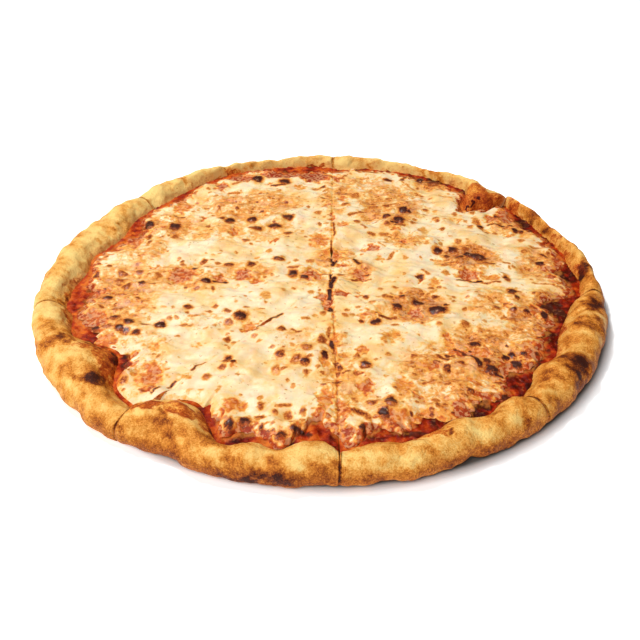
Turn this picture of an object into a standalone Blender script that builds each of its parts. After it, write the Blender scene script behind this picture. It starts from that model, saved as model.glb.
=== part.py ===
"""A round cheese pizza, baked and cut into eight slices that still lie together.

Each slice is three solids on top of each other: the crust, which is a flat base with a raised, puffy
rim; the tomato sauce spread over the base; and the melted cheese on the sauce. A band of sauce stays
bare between the cheese and the rim. The long cuts cross a little off the middle of the crust.

Lengths are metres and angles are degrees, anticlockwise from +X. All polar places are measured about
the point where the cuts cross: "reach" is the distance from it, and "inset" is the distance in from
the crust's outer edge. +Z is up, and the crust stands on Z = 0.
"""

import math

import bmesh
import bpy
import numpy as np

MM = 0.001

# ---- The round crust ----
CRUST_RADIUS = 0.178
FAR_SIDE_STRETCH = 0.005  # how far the crust's +Y side is drawn out past the circle
CUT_CROSSING = (0.0074, -0.0091)  # from the middle of the circle
BASE_THICKNESS = 0.0045

# ---- The rim ----
RIM_HEIGHT = 0.0155
RIM_HEIGHT_BY_Y = -0.0005
RIM_WIDTH = 0.0220
NARROW_RIM_WIDTH = 0.0095  # on the +Y side, between the two angles below
NARROW_FROM = -5.0
NARROW_TO = 126.0
NARROW_BLEND = (8.0, 13.0)  # how far either side of those angles the rim takes to narrow
CREST_SHARE = 0.46  # where the rim is highest, as a share of its width from the outer edge
WIDEST_SHARE = 0.40  # the height where the rim bulges out most, as a share of its own height
FOOT_INSET = 0.0070  # where the outer face meets the table

# Pillows that the oven blew up in the rim, and the hollows between them: where each is, how far it
# spreads to either side, and how far it pushes the rim inward, upward and outward (mm). One that
# names a slice is in that slice alone.
RIM_PILLOWS = (
    {"at": -167, "spread": 6, "inward": 2.5, "upward": 1.0, "outward": 0.2},
    {"at": -148, "spread": 12, "inward": 17.0, "upward": 2.0, "outward": 0.5},
    {"at": -132, "spread": 7, "inward": 0.0, "upward": 0.5, "outward": 1.6},
    {"at": -124, "spread": 16, "inward": 14.0, "upward": 2.5, "outward": 0.0, "slice": 6},
    {"at": -120, "spread": 7, "inward": 0.0, "upward": 0.0, "outward": -4.2},
    {"at": -110, "spread": 5, "inward": -6.0, "upward": -1.0, "outward": 0.0},
    {"at": -101, "spread": 4, "inward": -2.5, "upward": -0.5, "outward": 0.0},
    {"at": -94, "spread": 6, "inward": 5.0, "upward": 1.5, "outward": -1.0},
    {"at": -84, "spread": 8, "inward": 0.0, "upward": 0.0, "outward": -1.0},
    {"at": -66, "spread": 9, "inward": 2.0, "upward": 0.5, "outward": -1.8},
    {"at": -52, "spread": 5, "inward": 4.0, "upward": 1.0, "outward": 0.4},
    {"at": -38, "spread": 7, "inward": 6.0, "upward": 2.0, "outward": 0.5},
    {"at": -22, "spread": 12, "inward": 4.0, "upward": 1.5, "outward": 0.0},
    {"at": 6, "spread": 9, "inward": 3.5, "upward": 0.0, "outward": 0.0},
    {"at": 24, "spread": 20, "inward": -2.0, "upward": -1.5, "outward": -3.6},
    {"at": 45, "spread": 8, "inward": 28.0, "upward": 3.5, "outward": -3.5, "slice": 2},
    {"at": 66, "spread": 14, "inward": -2.5, "upward": -3.0, "outward": 0.0},
    {"at": 87, "spread": 8, "inward": 8.0, "upward": 1.0, "outward": 1.0},
    {"at": 108, "spread": 20, "inward": -1.0, "upward": -2.4, "outward": 0.0},
    {"at": 142, "spread": 8, "inward": 2.5, "upward": 0.0, "outward": -0.8},
    {"at": 158, "spread": 14, "inward": 8.0, "upward": -0.5, "outward": -1.5},
    {"at": 175, "spread": 9, "inward": 3.0, "upward": 0.5, "outward": -2.0},
)

# The cutter presses the rim down and back beside each cut.
CUT_DIP = {"spread": 4.5, "inward": -3.0, "upward": -1.6, "outward": -0.4}

# ---- The cuts, one for each slice's first side ----
CUTS = (
    {"at": -6.5, "bow": 4.5 * MM},
    {"at": 40.2, "bow": 0.0},
    {"at": 88.8, "bow": 0.0},
    {"at": 141.4, "bow": 0.0},
    {"at": 189.6, "bow": -4.1 * MM},
    {"at": 231.9, "bow": -3.0 * MM},
    {"at": 270.6, "bow": 1.0 * MM},
    {"at": 310.6, "bow": 0.0},
)
CUT_CLEARANCE = 0.00040  # between a slice's side and the middle of the cut
TIP_REACH = 0.0016

# Places where a cut gapes: the cut, the side it opens to (+1 the slice that starts there, -1 the one
# that ends there), how far out, how long either way, and how much wider.
CUT_OPENINGS = (
    {"cut": 1, "side": 1, "reach": 0.152, "spread": 0.009, "wider": 0.0030},
    {"cut": 2, "side": -1, "reach": 0.037, "spread": 0.008, "wider": 0.0014},
    {"cut": 2, "side": 1, "reach": 0.037, "spread": 0.008, "wider": 0.0010},
    {"cut": 5, "side": 1, "reach": 0.060, "spread": 0.007, "wider": 0.0012},
    {"cut": 5, "side": -1, "reach": 0.061, "spread": 0.009, "wider": 0.0016},
    {"cut": 6, "side": 1, "reach": 0.150, "spread": 0.016, "wider": 0.0005},
    {"cut": 6, "side": -1, "reach": 0.150, "spread": 0.016, "wider": 0.0003},
)

# ---- The layers on the base ----
LAYER_GAP = 0.0003
SAUCE_THICKNESS = 0.0017
CHEESE_THICKNESS = 0.0028
CHEESE_EDGE_THICKNESS = 0.0010
CHEESE_EDGE_ROLL = 0.0090  # how far in from its edge the cheese comes up to its full thickness
CHEESE_EDGE_WOBBLE = 0.0012
CHEESE_EDGE_WAVES = ((17, 1.0, 1.0), (29, 0.7, 2.6), (11, 0.6, 0.0))  # count, strength, phase
LEAST_BARE_SHARE = 0.2  # the wobble leaves at least this share of the bare sauce
CHEESE_SWELLS = ((0.034, 0.00060), (0.017, 0.00038))  # wavelength and height of its melted swells
SWELL_WAVES = 12
LEAST_CHEESE = 0.0009
SAUCE_RIPPLE = ((0.012, 0.00022),)
SAUCE_EDGE_ROLL = 0.0025
SAUCE_EDGE_DROP = 0.0007

# The bare band of sauce inside the rim is BARE_SAUCE wide, and wider by "more" (mm) in these places.
BARE_SAUCE = 0.0030
BARE_STRETCHES = (
    {"at": -173, "spread": 8, "more": 9},
    {"at": -158, "spread": 7, "more": 9},
    {"at": -145, "spread": 7, "more": 4},
    {"at": -118, "spread": 9, "more": 4},
    {"at": -107, "spread": 6, "more": 5},
    {"at": -93, "spread": 8, "more": 9},
    {"at": -80, "spread": 8, "more": 6},
    {"at": -69, "spread": 8, "more": 9},
    {"at": -58, "spread": 7, "more": 4},
    {"at": -45, "spread": 6, "more": 10},
    {"at": -26, "spread": 8, "more": 5},
    {"at": -12, "spread": 8, "more": 10},
    {"at": 2, "spread": 8, "more": 9},
    {"at": 27, "spread": 14, "more": 4},
    {"at": 66, "spread": 10, "more": 4},
    {"at": 98, "spread": 14, "more": 9},
    {"at": 133, "spread": 7, "more": 6},
    {"at": 152, "spread": 8, "more": 7},
)

# ---- How finely the solids are divided, for one slice ----
CRUST_COLUMNS = 22
INNER_SLOPE_STEPS = 5
OUTER_ROLL_STEPS = 5
UNDERCUT_STEPS = 3
SIDE_STEPS = 8  # along a cut, from the tip to the rim
CHEESE_COLUMNS = 17
CHEESE_RINGS = 13
CHEESE_LAST_RING = 0.3  # the edge's own ring, as a share of the others
SAUCE_COLUMNS = CRUST_COLUMNS  # so its edge follows the foot of the rim
SAUCE_RINGS = 3
SAUCE_INNER_SHARE = 0.80  # the sauce's top is divided finely only outside this share of its reach
SMOOTH_ANGLE = 40.0


# ---------------------------------------------------------------- shape functions


def bump(distance, spread):
    """1 at distance 0, falling smoothly to 0 at the spread."""
    share = min(abs(distance) / spread, 1.0)
    return math.cos(share * math.pi / 2) ** 2


def turn(a, b):
    """The angle from b to a, from -180 to 180."""
    return (a - b + 180.0) % 360.0 - 180.0


def waves(seed, bands):
    """A smooth random field over the plane: for each (wavelength, height), a few crossing waves."""
    rng = np.random.RandomState(seed)
    terms = []
    for wavelength, height in bands:
        for _ in range(SWELL_WAVES):
            heading = rng.uniform(0, 2 * math.pi)
            k = 2 * math.pi / (wavelength * rng.uniform(0.8, 1.3))
            phase = rng.uniform(0, 2 * math.pi)
            strength = height * math.sqrt(2.0 / SWELL_WAVES)
            terms.append((k * math.cos(heading), k * math.sin(heading), phase, strength))

    def field(x, y):
        return sum(s * math.sin(kx * x + ky * y + p) for kx, ky, p, s in terms)

    return field


def rim_push(slice_index, angle, way):
    """How far the pillows and the two nearest cuts push the rim at an angle, in metres."""
    total = 0.0
    for pillow in RIM_PILLOWS:
        if pillow.get("slice", slice_index + 1) == slice_index + 1:
            total += pillow[way] * bump(turn(angle, pillow["at"]), pillow["spread"])
    for cut in CUTS:
        total += CUT_DIP[way] * bump(turn(angle, cut["at"]), CUT_DIP["spread"])
    return total * MM


def edge_reach(slice_index, angle):
    """From the crossing to the crust's outer edge."""
    c, s = math.cos(math.radians(angle)), math.sin(math.radians(angle))
    along = c * CUT_CROSSING[0] + s * CUT_CROSSING[1]
    off_square = CUT_CROSSING[0] ** 2 + CUT_CROSSING[1] ** 2
    circle = -along + math.sqrt(along**2 + CRUST_RADIUS**2 - off_square)
    stretch = FAR_SIDE_STRETCH * max(s, 0.0) ** 2
    return circle + stretch + rim_push(slice_index, angle, "outward")


def ease(share):
    """0 to 1, with a level start and end."""
    share = max(0.0, min(1.0, share))
    return share * share * (3.0 - 2.0 * share)


def rim_width(slice_index, angle):
    past_start = turn(angle, NARROW_FROM) / NARROW_BLEND[0]
    before_end = turn(NARROW_TO, angle) / NARROW_BLEND[1]
    narrow = ease((1 + past_start) / 2) * ease((1 + before_end) / 2)
    plain = RIM_WIDTH + (NARROW_RIM_WIDTH - RIM_WIDTH) * narrow
    return plain + rim_push(slice_index, angle, "inward")


def rim_height(slice_index, angle):
    plain = RIM_HEIGHT + RIM_HEIGHT_BY_Y * math.sin(math.radians(angle))
    return plain + rim_push(slice_index, angle, "upward")


def clearance(cut_index, side, reach):
    """Half the gap of a cut, on one side of it."""
    wide = CUT_CLEARANCE
    for opening in CUT_OPENINGS:
        if (opening["cut"], opening["side"]) == (cut_index, side):
            wide += opening["wider"] * bump(reach - opening["reach"], opening["spread"])
    return wide


def side_angle(cut_index, side, reach):
    """The angle of a slice's side at some reach, with the cut's bow and its gap."""
    cut = CUTS[cut_index]
    share = min(reach / CRUST_RADIUS, 1.0)
    offset = 4.0 * cut["bow"] * share * (1.0 - share) + side * clearance(cut_index, side, reach)
    return cut["at"] + math.degrees(math.asin(max(-0.95, min(0.95, offset / reach))))


def straight_angle(slice_index, across):
    """The angle at which a column of a slice meets the rim. across runs from 0 to 1."""
    start = CUTS[slice_index]["at"]
    end = start + turn(CUTS[(slice_index + 1) % len(CUTS)]["at"], start)
    return start + across * (end - start)


def place(slice_index, across, reach):
    """X and Y, about the crossing, of a slice's point."""
    last_cut = (slice_index + 1) % len(CUTS)
    start = side_angle(slice_index, 1, reach)
    end = start + turn(side_angle(last_cut, -1, reach), start)
    angle = math.radians(start + across * (end - start))
    return reach * math.cos(angle), reach * math.sin(angle)


def rim_section(width, height):
    """(inset, z) round the rim: from the base's top, over the crest, to the foot on the table."""
    crest, widest = CREST_SHARE * width, WIDEST_SHARE * height
    points = []
    for i in range(INNER_SLOPE_STEPS):
        rise = i / INNER_SLOPE_STEPS
        inset = width + (crest - width) * rise
        points.append((inset, BASE_THICKNESS + (height - BASE_THICKNESS) * rise * (2 - rise)))
    for i in range(OUTER_ROLL_STEPS):
        roll = math.pi / 2 * i / OUTER_ROLL_STEPS
        points.append((crest * (1 - math.sin(roll)), widest + (height - widest) * math.cos(roll)))
    for i in range(UNDERCUT_STEPS + 1):
        roll = math.pi / 2 * i / UNDERCUT_STEPS
        points.append((FOOT_INSET * (1 - math.cos(roll)), widest * (1 - math.sin(roll))))
    return points


def sauce_reach(slice_index, angle):
    return edge_reach(slice_index, angle) - rim_width(slice_index, angle) - LAYER_GAP


def cheese_reach(slice_index, angle):
    """From the crossing to the cheese's uneven edge."""
    bare = BARE_SAUCE
    for stretch in BARE_STRETCHES:
        bare += stretch["more"] * MM * bump(turn(angle, stretch["at"]), stretch["spread"])
    wobble = 0.0
    for count, strength, phase in CHEESE_EDGE_WAVES:
        wobble += CHEESE_EDGE_WOBBLE * strength * math.sin(count * math.radians(angle) + phase)
    bare = max(bare - wobble, LEAST_BARE_SHARE * bare)
    return sauce_reach(slice_index, angle) - bare


# ---------------------------------------------------------------- mesh building


def add_row(mesh, points):
    return [mesh.verts.new(p) for p in points]


def add_strips(mesh, rows):
    """Quads between each row of vertices and the next."""
    for first, second in zip(rows, rows[1:]):
        for i in range(len(first) - 1):
            mesh.faces.new((first[i], first[i + 1], second[i + 1], second[i]))


def finish_object(name, mesh, material, parent):
    """Turns the mesh's faces outward, splits its flat faces into triangles and makes the object."""
    bmesh.ops.recalc_face_normals(mesh, faces=mesh.faces)
    bmesh.ops.triangulate(mesh, faces=mesh.faces, quad_method="SHORT_EDGE", ngon_method="EAR_CLIP")
    data = bpy.data.meshes.new(name)
    mesh.to_mesh(data)
    mesh.free()
    data.materials.append(material)
    data.shade_smooth()
    data.set_sharp_from_angle(angle=math.radians(SMOOTH_ANGLE))
    made = bpy.data.objects.new(name, data)
    bpy.context.scene.collection.objects.link(made)
    made.parent = parent
    return made


def build_crust(slice_index):
    """The flat base and its rim: strips round the rim, with flat faces above and below the base."""
    mesh = bmesh.new()
    columns = []
    for i in range(CRUST_COLUMNS + 1):
        across = i / CRUST_COLUMNS
        angle = straight_angle(slice_index, across)
        edge = edge_reach(slice_index, angle)
        section = rim_section(rim_width(slice_index, angle), rim_height(slice_index, angle))
        columns.append(
            add_row(mesh, [(*place(slice_index, across, edge - inset), z) for inset, z in section])
        )
    add_strips(mesh, columns)
    sides = {}
    for across, column in ((0.0, columns[0]), (1.0, columns[-1])):
        angle = straight_angle(slice_index, across)
        rim_start = edge_reach(slice_index, angle) - rim_width(slice_index, angle)
        reaches = [
            TIP_REACH + (rim_start - TIP_REACH) * (i / SIDE_STEPS) for i in range(SIDE_STEPS + 1)
        ]
        low = add_row(mesh, [(*place(slice_index, across, r), 0.0) for r in reaches])
        high = add_row(
            mesh, [(*place(slice_index, across, r), BASE_THICKNESS) for r in reaches[:-1]]
        )
        high.append(column[0])
        add_strips(mesh, [low, high])
        mesh.faces.new([low[-1], *column])  # the rim's own cut face
        sides[across] = (low, high)
    (low_a, high_a), (low_b, high_b) = sides[0.0], sides[1.0]
    mesh.faces.new((low_a[0], high_a[0], high_b[0], low_b[0]))
    inner = [column[0] for column in columns]
    foot = [column[-1] for column in columns]
    mesh.faces.new([*high_a[:-1], *inner, *high_b[-2::-1]])
    mesh.faces.new([*low_a, *foot, *low_b[::-1]])
    return mesh


def build_layer(slice_index, columns, rings, reach_of, bottom, top_of):
    """A layer with a flat underside: its top is a grid from the tip to its own outer edge."""
    mesh = bmesh.new()
    tops, lows = [], []
    for i in range(columns + 1):
        across = i / columns
        outer = reach_of(slice_index, straight_angle(slice_index, across))
        row = []
        for ring in rings:
            reach = TIP_REACH + (outer - TIP_REACH) * ring
            x, y = place(slice_index, across, reach)
            row.append((x, y, top_of(x, y, outer - reach)))
        tops.append(add_row(mesh, row))
        if i in (0, columns):
            lows.append(add_row(mesh, [(x, y, bottom) for x, y, _ in row]))
        else:
            lows.append([mesh.verts.new((row[-1][0], row[-1][1], bottom))])
    add_strips(mesh, tops)
    add_strips(mesh, [lows[0], tops[0]])
    add_strips(mesh, [lows[-1], tops[-1]])
    outer_low = [low[-1] for low in lows]
    add_strips(mesh, [outer_low, [top[-1] for top in tops]])
    # At the tip the two sides join through the top's first ring.
    mesh.faces.new([lows[0][0], *[top[0] for top in tops], lows[-1][0]])
    mesh.faces.new([*lows[0], *outer_low[1:-1], *lows[-1][::-1]])
    return mesh


def build_sauce(slice_index):
    ripple = waves(11, SAUCE_RIPPLE)
    bottom = BASE_THICKNESS + LAYER_GAP
    level = bottom + SAUCE_THICKNESS

    def top_of(x, y, inset):
        """Flat under the cheese; outside it rippled downward, and rolled off at the edge."""
        reach = math.hypot(x, y)
        if reach < SAUCE_INNER_SHARE * (reach + inset):
            return level
        drop = SAUCE_EDGE_DROP * (1.0 - min(inset / SAUCE_EDGE_ROLL, 1.0))
        return level + min(ripple(x, y), 0.0) - drop

    step = (1.0 - SAUCE_INNER_SHARE) / SAUCE_RINGS
    outer_rings = [SAUCE_INNER_SHARE + step * i for i in range(1, SAUCE_RINGS + 1)]
    rings = [0.0, 0.5 * SAUCE_INNER_SHARE, SAUCE_INNER_SHARE, *outer_rings]
    return build_layer(slice_index, SAUCE_COLUMNS, rings, sauce_reach, bottom, top_of)


def build_cheese(slice_index):
    swell = waves(23, CHEESE_SWELLS)
    bottom = BASE_THICKNESS + SAUCE_THICKNESS + 2 * LAYER_GAP

    def top_of(x, y, inset):
        share = min(inset / CHEESE_EDGE_ROLL, 1.0)
        full = CHEESE_THICKNESS + swell(x, y)
        rolled = CHEESE_EDGE_THICKNESS + (full - CHEESE_EDGE_THICKNESS) * math.sqrt(share * (2 - share))
        return bottom + max(rolled, LEAST_CHEESE)

    rings = [i / CHEESE_RINGS for i in range(CHEESE_RINGS)]
    rings += [1.0 - CHEESE_LAST_RING / CHEESE_RINGS, 1.0]
    return build_layer(slice_index, CHEESE_COLUMNS, rings, cheese_reach, bottom, top_of)


# ---------------------------------------------------------------- materials and assembly


def make_material(name, colour, roughness):
    material = bpy.data.materials.new(name)
    material.use_nodes = True
    shader = material.node_tree.nodes["Principled BSDF"]
    shader.inputs["Base Color"].default_value = (*colour, 1.0)
    shader.inputs["Roughness"].default_value = roughness
    shader.inputs["Metallic"].default_value = 0.0
    return material


def outline_middle():
    """The middle of the crust's bounding box in X and Y, about the crossing."""
    xs, ys = [], []
    for k in range(len(CUTS)):
        for i in range(CRUST_COLUMNS + 1):
            across = i / CRUST_COLUMNS
            x, y = place(k, across, edge_reach(k, straight_angle(k, across)))
            xs.append(x)
            ys.append(y)
    return (min(xs) + max(xs)) / 2, (min(ys) + max(ys)) / 2


def main():
    for old in list(bpy.data.objects):
        bpy.data.objects.remove(old)
    crust = make_material("baked_crust", (0.72, 0.42, 0.14), 0.62)
    sauce = make_material("tomato_sauce", (0.42, 0.045, 0.012), 0.35)
    cheese = make_material("melted_cheese", (0.93, 0.72, 0.34), 0.38)
    middle = outline_middle()
    for k in range(len(CUTS)):
        holder = bpy.data.objects.new(f"slice_{k + 1}", None)
        holder.location = (-middle[0], -middle[1], 0.0)
        bpy.context.scene.collection.objects.link(holder)
        finish_object(f"crust_{k + 1}", build_crust(k), crust, holder)
        finish_object(f"sauce_{k + 1}", build_sauce(k), sauce, holder)
        finish_object(f"cheese_{k + 1}", build_cheese(k), cheese, holder)


main()
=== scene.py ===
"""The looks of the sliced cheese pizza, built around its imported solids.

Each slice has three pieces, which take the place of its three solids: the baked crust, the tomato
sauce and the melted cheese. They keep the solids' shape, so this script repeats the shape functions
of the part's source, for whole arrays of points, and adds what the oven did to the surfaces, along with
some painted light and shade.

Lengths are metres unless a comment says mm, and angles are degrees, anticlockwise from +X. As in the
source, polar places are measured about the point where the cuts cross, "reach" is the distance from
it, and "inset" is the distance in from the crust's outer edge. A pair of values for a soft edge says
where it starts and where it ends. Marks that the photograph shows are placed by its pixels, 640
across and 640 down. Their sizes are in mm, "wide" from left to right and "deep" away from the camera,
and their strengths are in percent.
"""

import math
from types import SimpleNamespace

import bpy
import numpy as np
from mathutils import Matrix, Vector


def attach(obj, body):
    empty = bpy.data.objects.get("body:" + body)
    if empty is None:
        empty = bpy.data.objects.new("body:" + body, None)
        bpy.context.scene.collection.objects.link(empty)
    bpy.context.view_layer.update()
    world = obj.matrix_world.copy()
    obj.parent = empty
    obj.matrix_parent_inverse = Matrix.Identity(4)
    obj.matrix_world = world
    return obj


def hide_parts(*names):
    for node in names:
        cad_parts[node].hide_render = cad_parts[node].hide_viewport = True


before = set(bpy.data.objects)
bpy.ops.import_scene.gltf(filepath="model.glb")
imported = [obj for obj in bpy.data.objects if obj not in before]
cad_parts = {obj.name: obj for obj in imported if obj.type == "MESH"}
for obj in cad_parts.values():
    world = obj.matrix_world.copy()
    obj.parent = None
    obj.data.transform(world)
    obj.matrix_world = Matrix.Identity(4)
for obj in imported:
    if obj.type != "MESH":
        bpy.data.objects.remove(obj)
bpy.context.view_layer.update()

MM = 0.001

# ---- The shape, as in the part's source ----

CRUST_RADIUS = 0.178
FAR_SIDE_STRETCH = 0.005
CUT_CROSSING = (0.0074, -0.0091)
CROSSING_IN_FRAME = (0.0069575, -0.0121603)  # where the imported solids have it
BASE_THICKNESS = 0.0045
RIM_HEIGHT = 0.0155
RIM_HEIGHT_BY_Y = -0.0005
RIM_WIDTH = 0.0220
NARROW_RIM_WIDTH = 0.0095
NARROW_STRETCH = (-5.0, 126.0)
NARROW_BLEND = (8.0, 13.0)
CREST_SHARE = 0.46
WIDEST_SHARE = 0.40
FOOT_INSET = 0.0070

# The rim's puffs: where and how far either way, then inward, upward and outward in mm, and the slice
# that alone has the puff, or 0.
INWARD, UPWARD, OUTWARD = 2, 3, 4
RIM_PILLOWS = (
    (-167, 6, 2.5, 1, 0.2, 0), (-148, 12, 17, 2, 0.5, 0), (-132, 7, 0, 0.5, 1.6, 0),
    (-124, 16, 14, 2.5, 0, 6), (-120, 7, 0, 0, -4.2, 0), (-110, 5, -6, -1, 0, 0),
    (-101, 4, -2.5, -0.5, 0, 0), (-94, 6, 5, 1.5, -1, 0), (-84, 8, 0, 0, -1, 0),
    (-66, 9, 2, 0.5, -1.8, 0), (-52, 5, 4, 1, 0.4, 0), (-38, 7, 6, 2, 0.5, 0),
    (-22, 12, 4, 1.5, 0, 0), (6, 9, 3.5, 0, 0, 0), (24, 20, -2, -1.5, -3.6, 0),
    (45, 8, 28, 3.5, -3.5, 2), (66, 14, -2.5, -3, 0, 0), (87, 8, 8, 1, 1, 0),
    (108, 20, -1, -2.4, 0, 0), (142, 8, 2.5, 0, -0.8, 0), (158, 14, 8, -0.5, -1.5, 0),
    (175, 9, 3, 0.5, -2, 0),
)
CUT_DIP = {INWARD: -3.0, UPWARD: -1.6, OUTWARD: -0.4}  # mm that the cutter pushed the rim
CUT_DIP_SPREAD = 4.5

CUT_ANGLES = (-6.5, 40.2, 88.8, 141.4, 189.6, 231.9, 270.6, 310.6)
CUT_BOWS = (4.5, 0.0, 0.0, 0.0, -4.1, -3.0, 1.0, 0.0)  # mm to the left, half way out
SLICES = len(CUT_ANGLES)
TIP_REACH = 0.0016
LARGEST_SINE = 0.95
# Where a cut gapes: the cut, counted from 0, the side that it opens to (1 is the slice that starts
# there, -1 the one before), how far out, how far either way, and how much wider.
CUT_OPENINGS = (
    (1, 1, 0.152, 0.009, 0.0030), (2, -1, 0.037, 0.008, 0.0014), (2, 1, 0.037, 0.008, 0.0010),
    (5, 1, 0.060, 0.007, 0.0012), (5, -1, 0.061, 0.009, 0.0016), (6, 1, 0.150, 0.016, 0.0005),
    (6, -1, 0.150, 0.016, 0.0003),
)

LAYER_GAP = 0.0003
SAUCE_THICKNESS = 0.0017
CHEESE_THICKNESS = 0.0028
CHEESE_EDGE_WOBBLE = 0.0012
CHEESE_EDGE_WAVES = ((17, 1.0, 1.0), (29, 0.7, 2.6), (11, 0.6, 0.0))
LEAST_BARE_SHARE = 0.2
CHEESE_SWELLS = ((0.034, 0.00060), (0.017, 0.00038))
SWELL_SEED = 23
SWELL_WAVES = 12
WAVE_SPREAD = (0.8, 1.3)  # shortest and longest wave of a band, over its wavelength
BARE_SAUCE = 0.0030
# Stretches with more bare sauce inside the rim: where, how far either way, and how many mm more.
BARE_STRETCHES = (
    (-173, 8, 9), (-158, 7, 9), (-145, 7, 4), (-118, 9, 4), (-107, 6, 5), (-93, 8, 9), (-80, 8, 6),
    (-69, 8, 9), (-58, 7, 4), (-45, 6, 10), (-26, 8, 5), (-12, 8, 10), (2, 8, 9), (27, 14, 4),
    (66, 10, 4), (98, 14, 9), (133, 7, 6), (152, 8, 7),
)

# ---- The looks' own sizes ----

# The cuts closed up again as the cheese set, so the looks leave less of a gap than the solids do.
SHUT_CUT = 0.00002
OPEN_HEIGHTS = (0.0036, 0.0055)  # below the first the base stays shut where a cut gapes above
CUT_CREASES = (0.30, 0.25, 0.55, 0.25, 0.30, 0.30, 0.60, 0.30)  # mm that the layers sink beside it
CREASE_WIDTH = 0.0009
RIM_CREASE = 0.0006

# Stretches where the cheese ran up to the rim, past the solids' edge: where, how far either way, mm.
CHEESE_RUNS = ((-122, 10, 9), (-131, 12, 9), (-152, 10, 8), (-66, 11, 9))

SOLID_WAVES = 16
SOLID_WAVE_SPREAD = (0.75, 1.35)

# How finely the pieces are divided, for one slice.
CRUST_COLUMNS = 216
RIM_STEPS = (34, 24, 12)  # the inner slope, the outer roll and the undercut
BASE_STEPS = 9
FLOOR_STEPS = 9
CHEESE_COLUMNS = 48
CHEESE_RING_STEP = 0.00070
CHEESE_DOUBLINGS = (0.040, 0.080)  # the reaches past which a ring has twice the columns
CHEESE_EDGE_SAMPLES = 99
SAUCE_COLUMNS = 164
SAUCE_RINGS = 40
SAUCE_INNER_RINGS = 4
SAUCE_SHOWN = 0.012  # how far under the cheese's edge the sauce is finely divided
CLOSE_COLUMNS = (0.0022, 0.0050)  # the places of the two columns beside a cut, as shares

# ---- Camera and studio ----

PHOTO_SIZE = 640
FOCAL_PIXELS = 750.9
SENSOR_MM = 36.0
CAMERA_RISE = 35.32
CAMERA_DISTANCE = 0.46
CAMERA_TARGET = Vector((-0.0001, -0.0421, 0.0))
CHEESE_LEVEL = 0.0096  # the height of the cheese's top, where marks of the photograph land

KEY_LAMP = {"spot": (-0.62, 0.42, 1.45), "size": 0.30, "power": 22.0}
FILL_LAMP = {"spot": (-0.40, -1.10, 1.20), "size": 0.90, "power": 15.0}
SKY_LOW = 0.30
SKY_TOP = 1.50
SKY_TOP_FROM = 0.55
FLOOR_REACH = 12.0
FLOOR_LEVEL = -0.0003
FLOOR_PAINTED_SHADOW_AND_GLOW_CENTRE = (0.0050, -0.0015, 0.0)
FLOOR_WHITE = (0.93, 0.93, 0.93)
FLOOR_PAINTED_SHADOW = (0.13, 0.125, 0.115)
FLOOR_PAINTED_SHADOW_FROM = (0.1728, 0.1770)  # how far out the painted shadow on the floor reaches under the crust's edge
FLOOR_PAINTED_GLOW = 0.48  # the floor's own painted glow, further out than the crust's edge, which washes out the lamps' shadows
FLOOR_PAINTED_GLOW_FROM = (0.1760, 0.1806)

# ---- Marks read off the photograph ----

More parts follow.
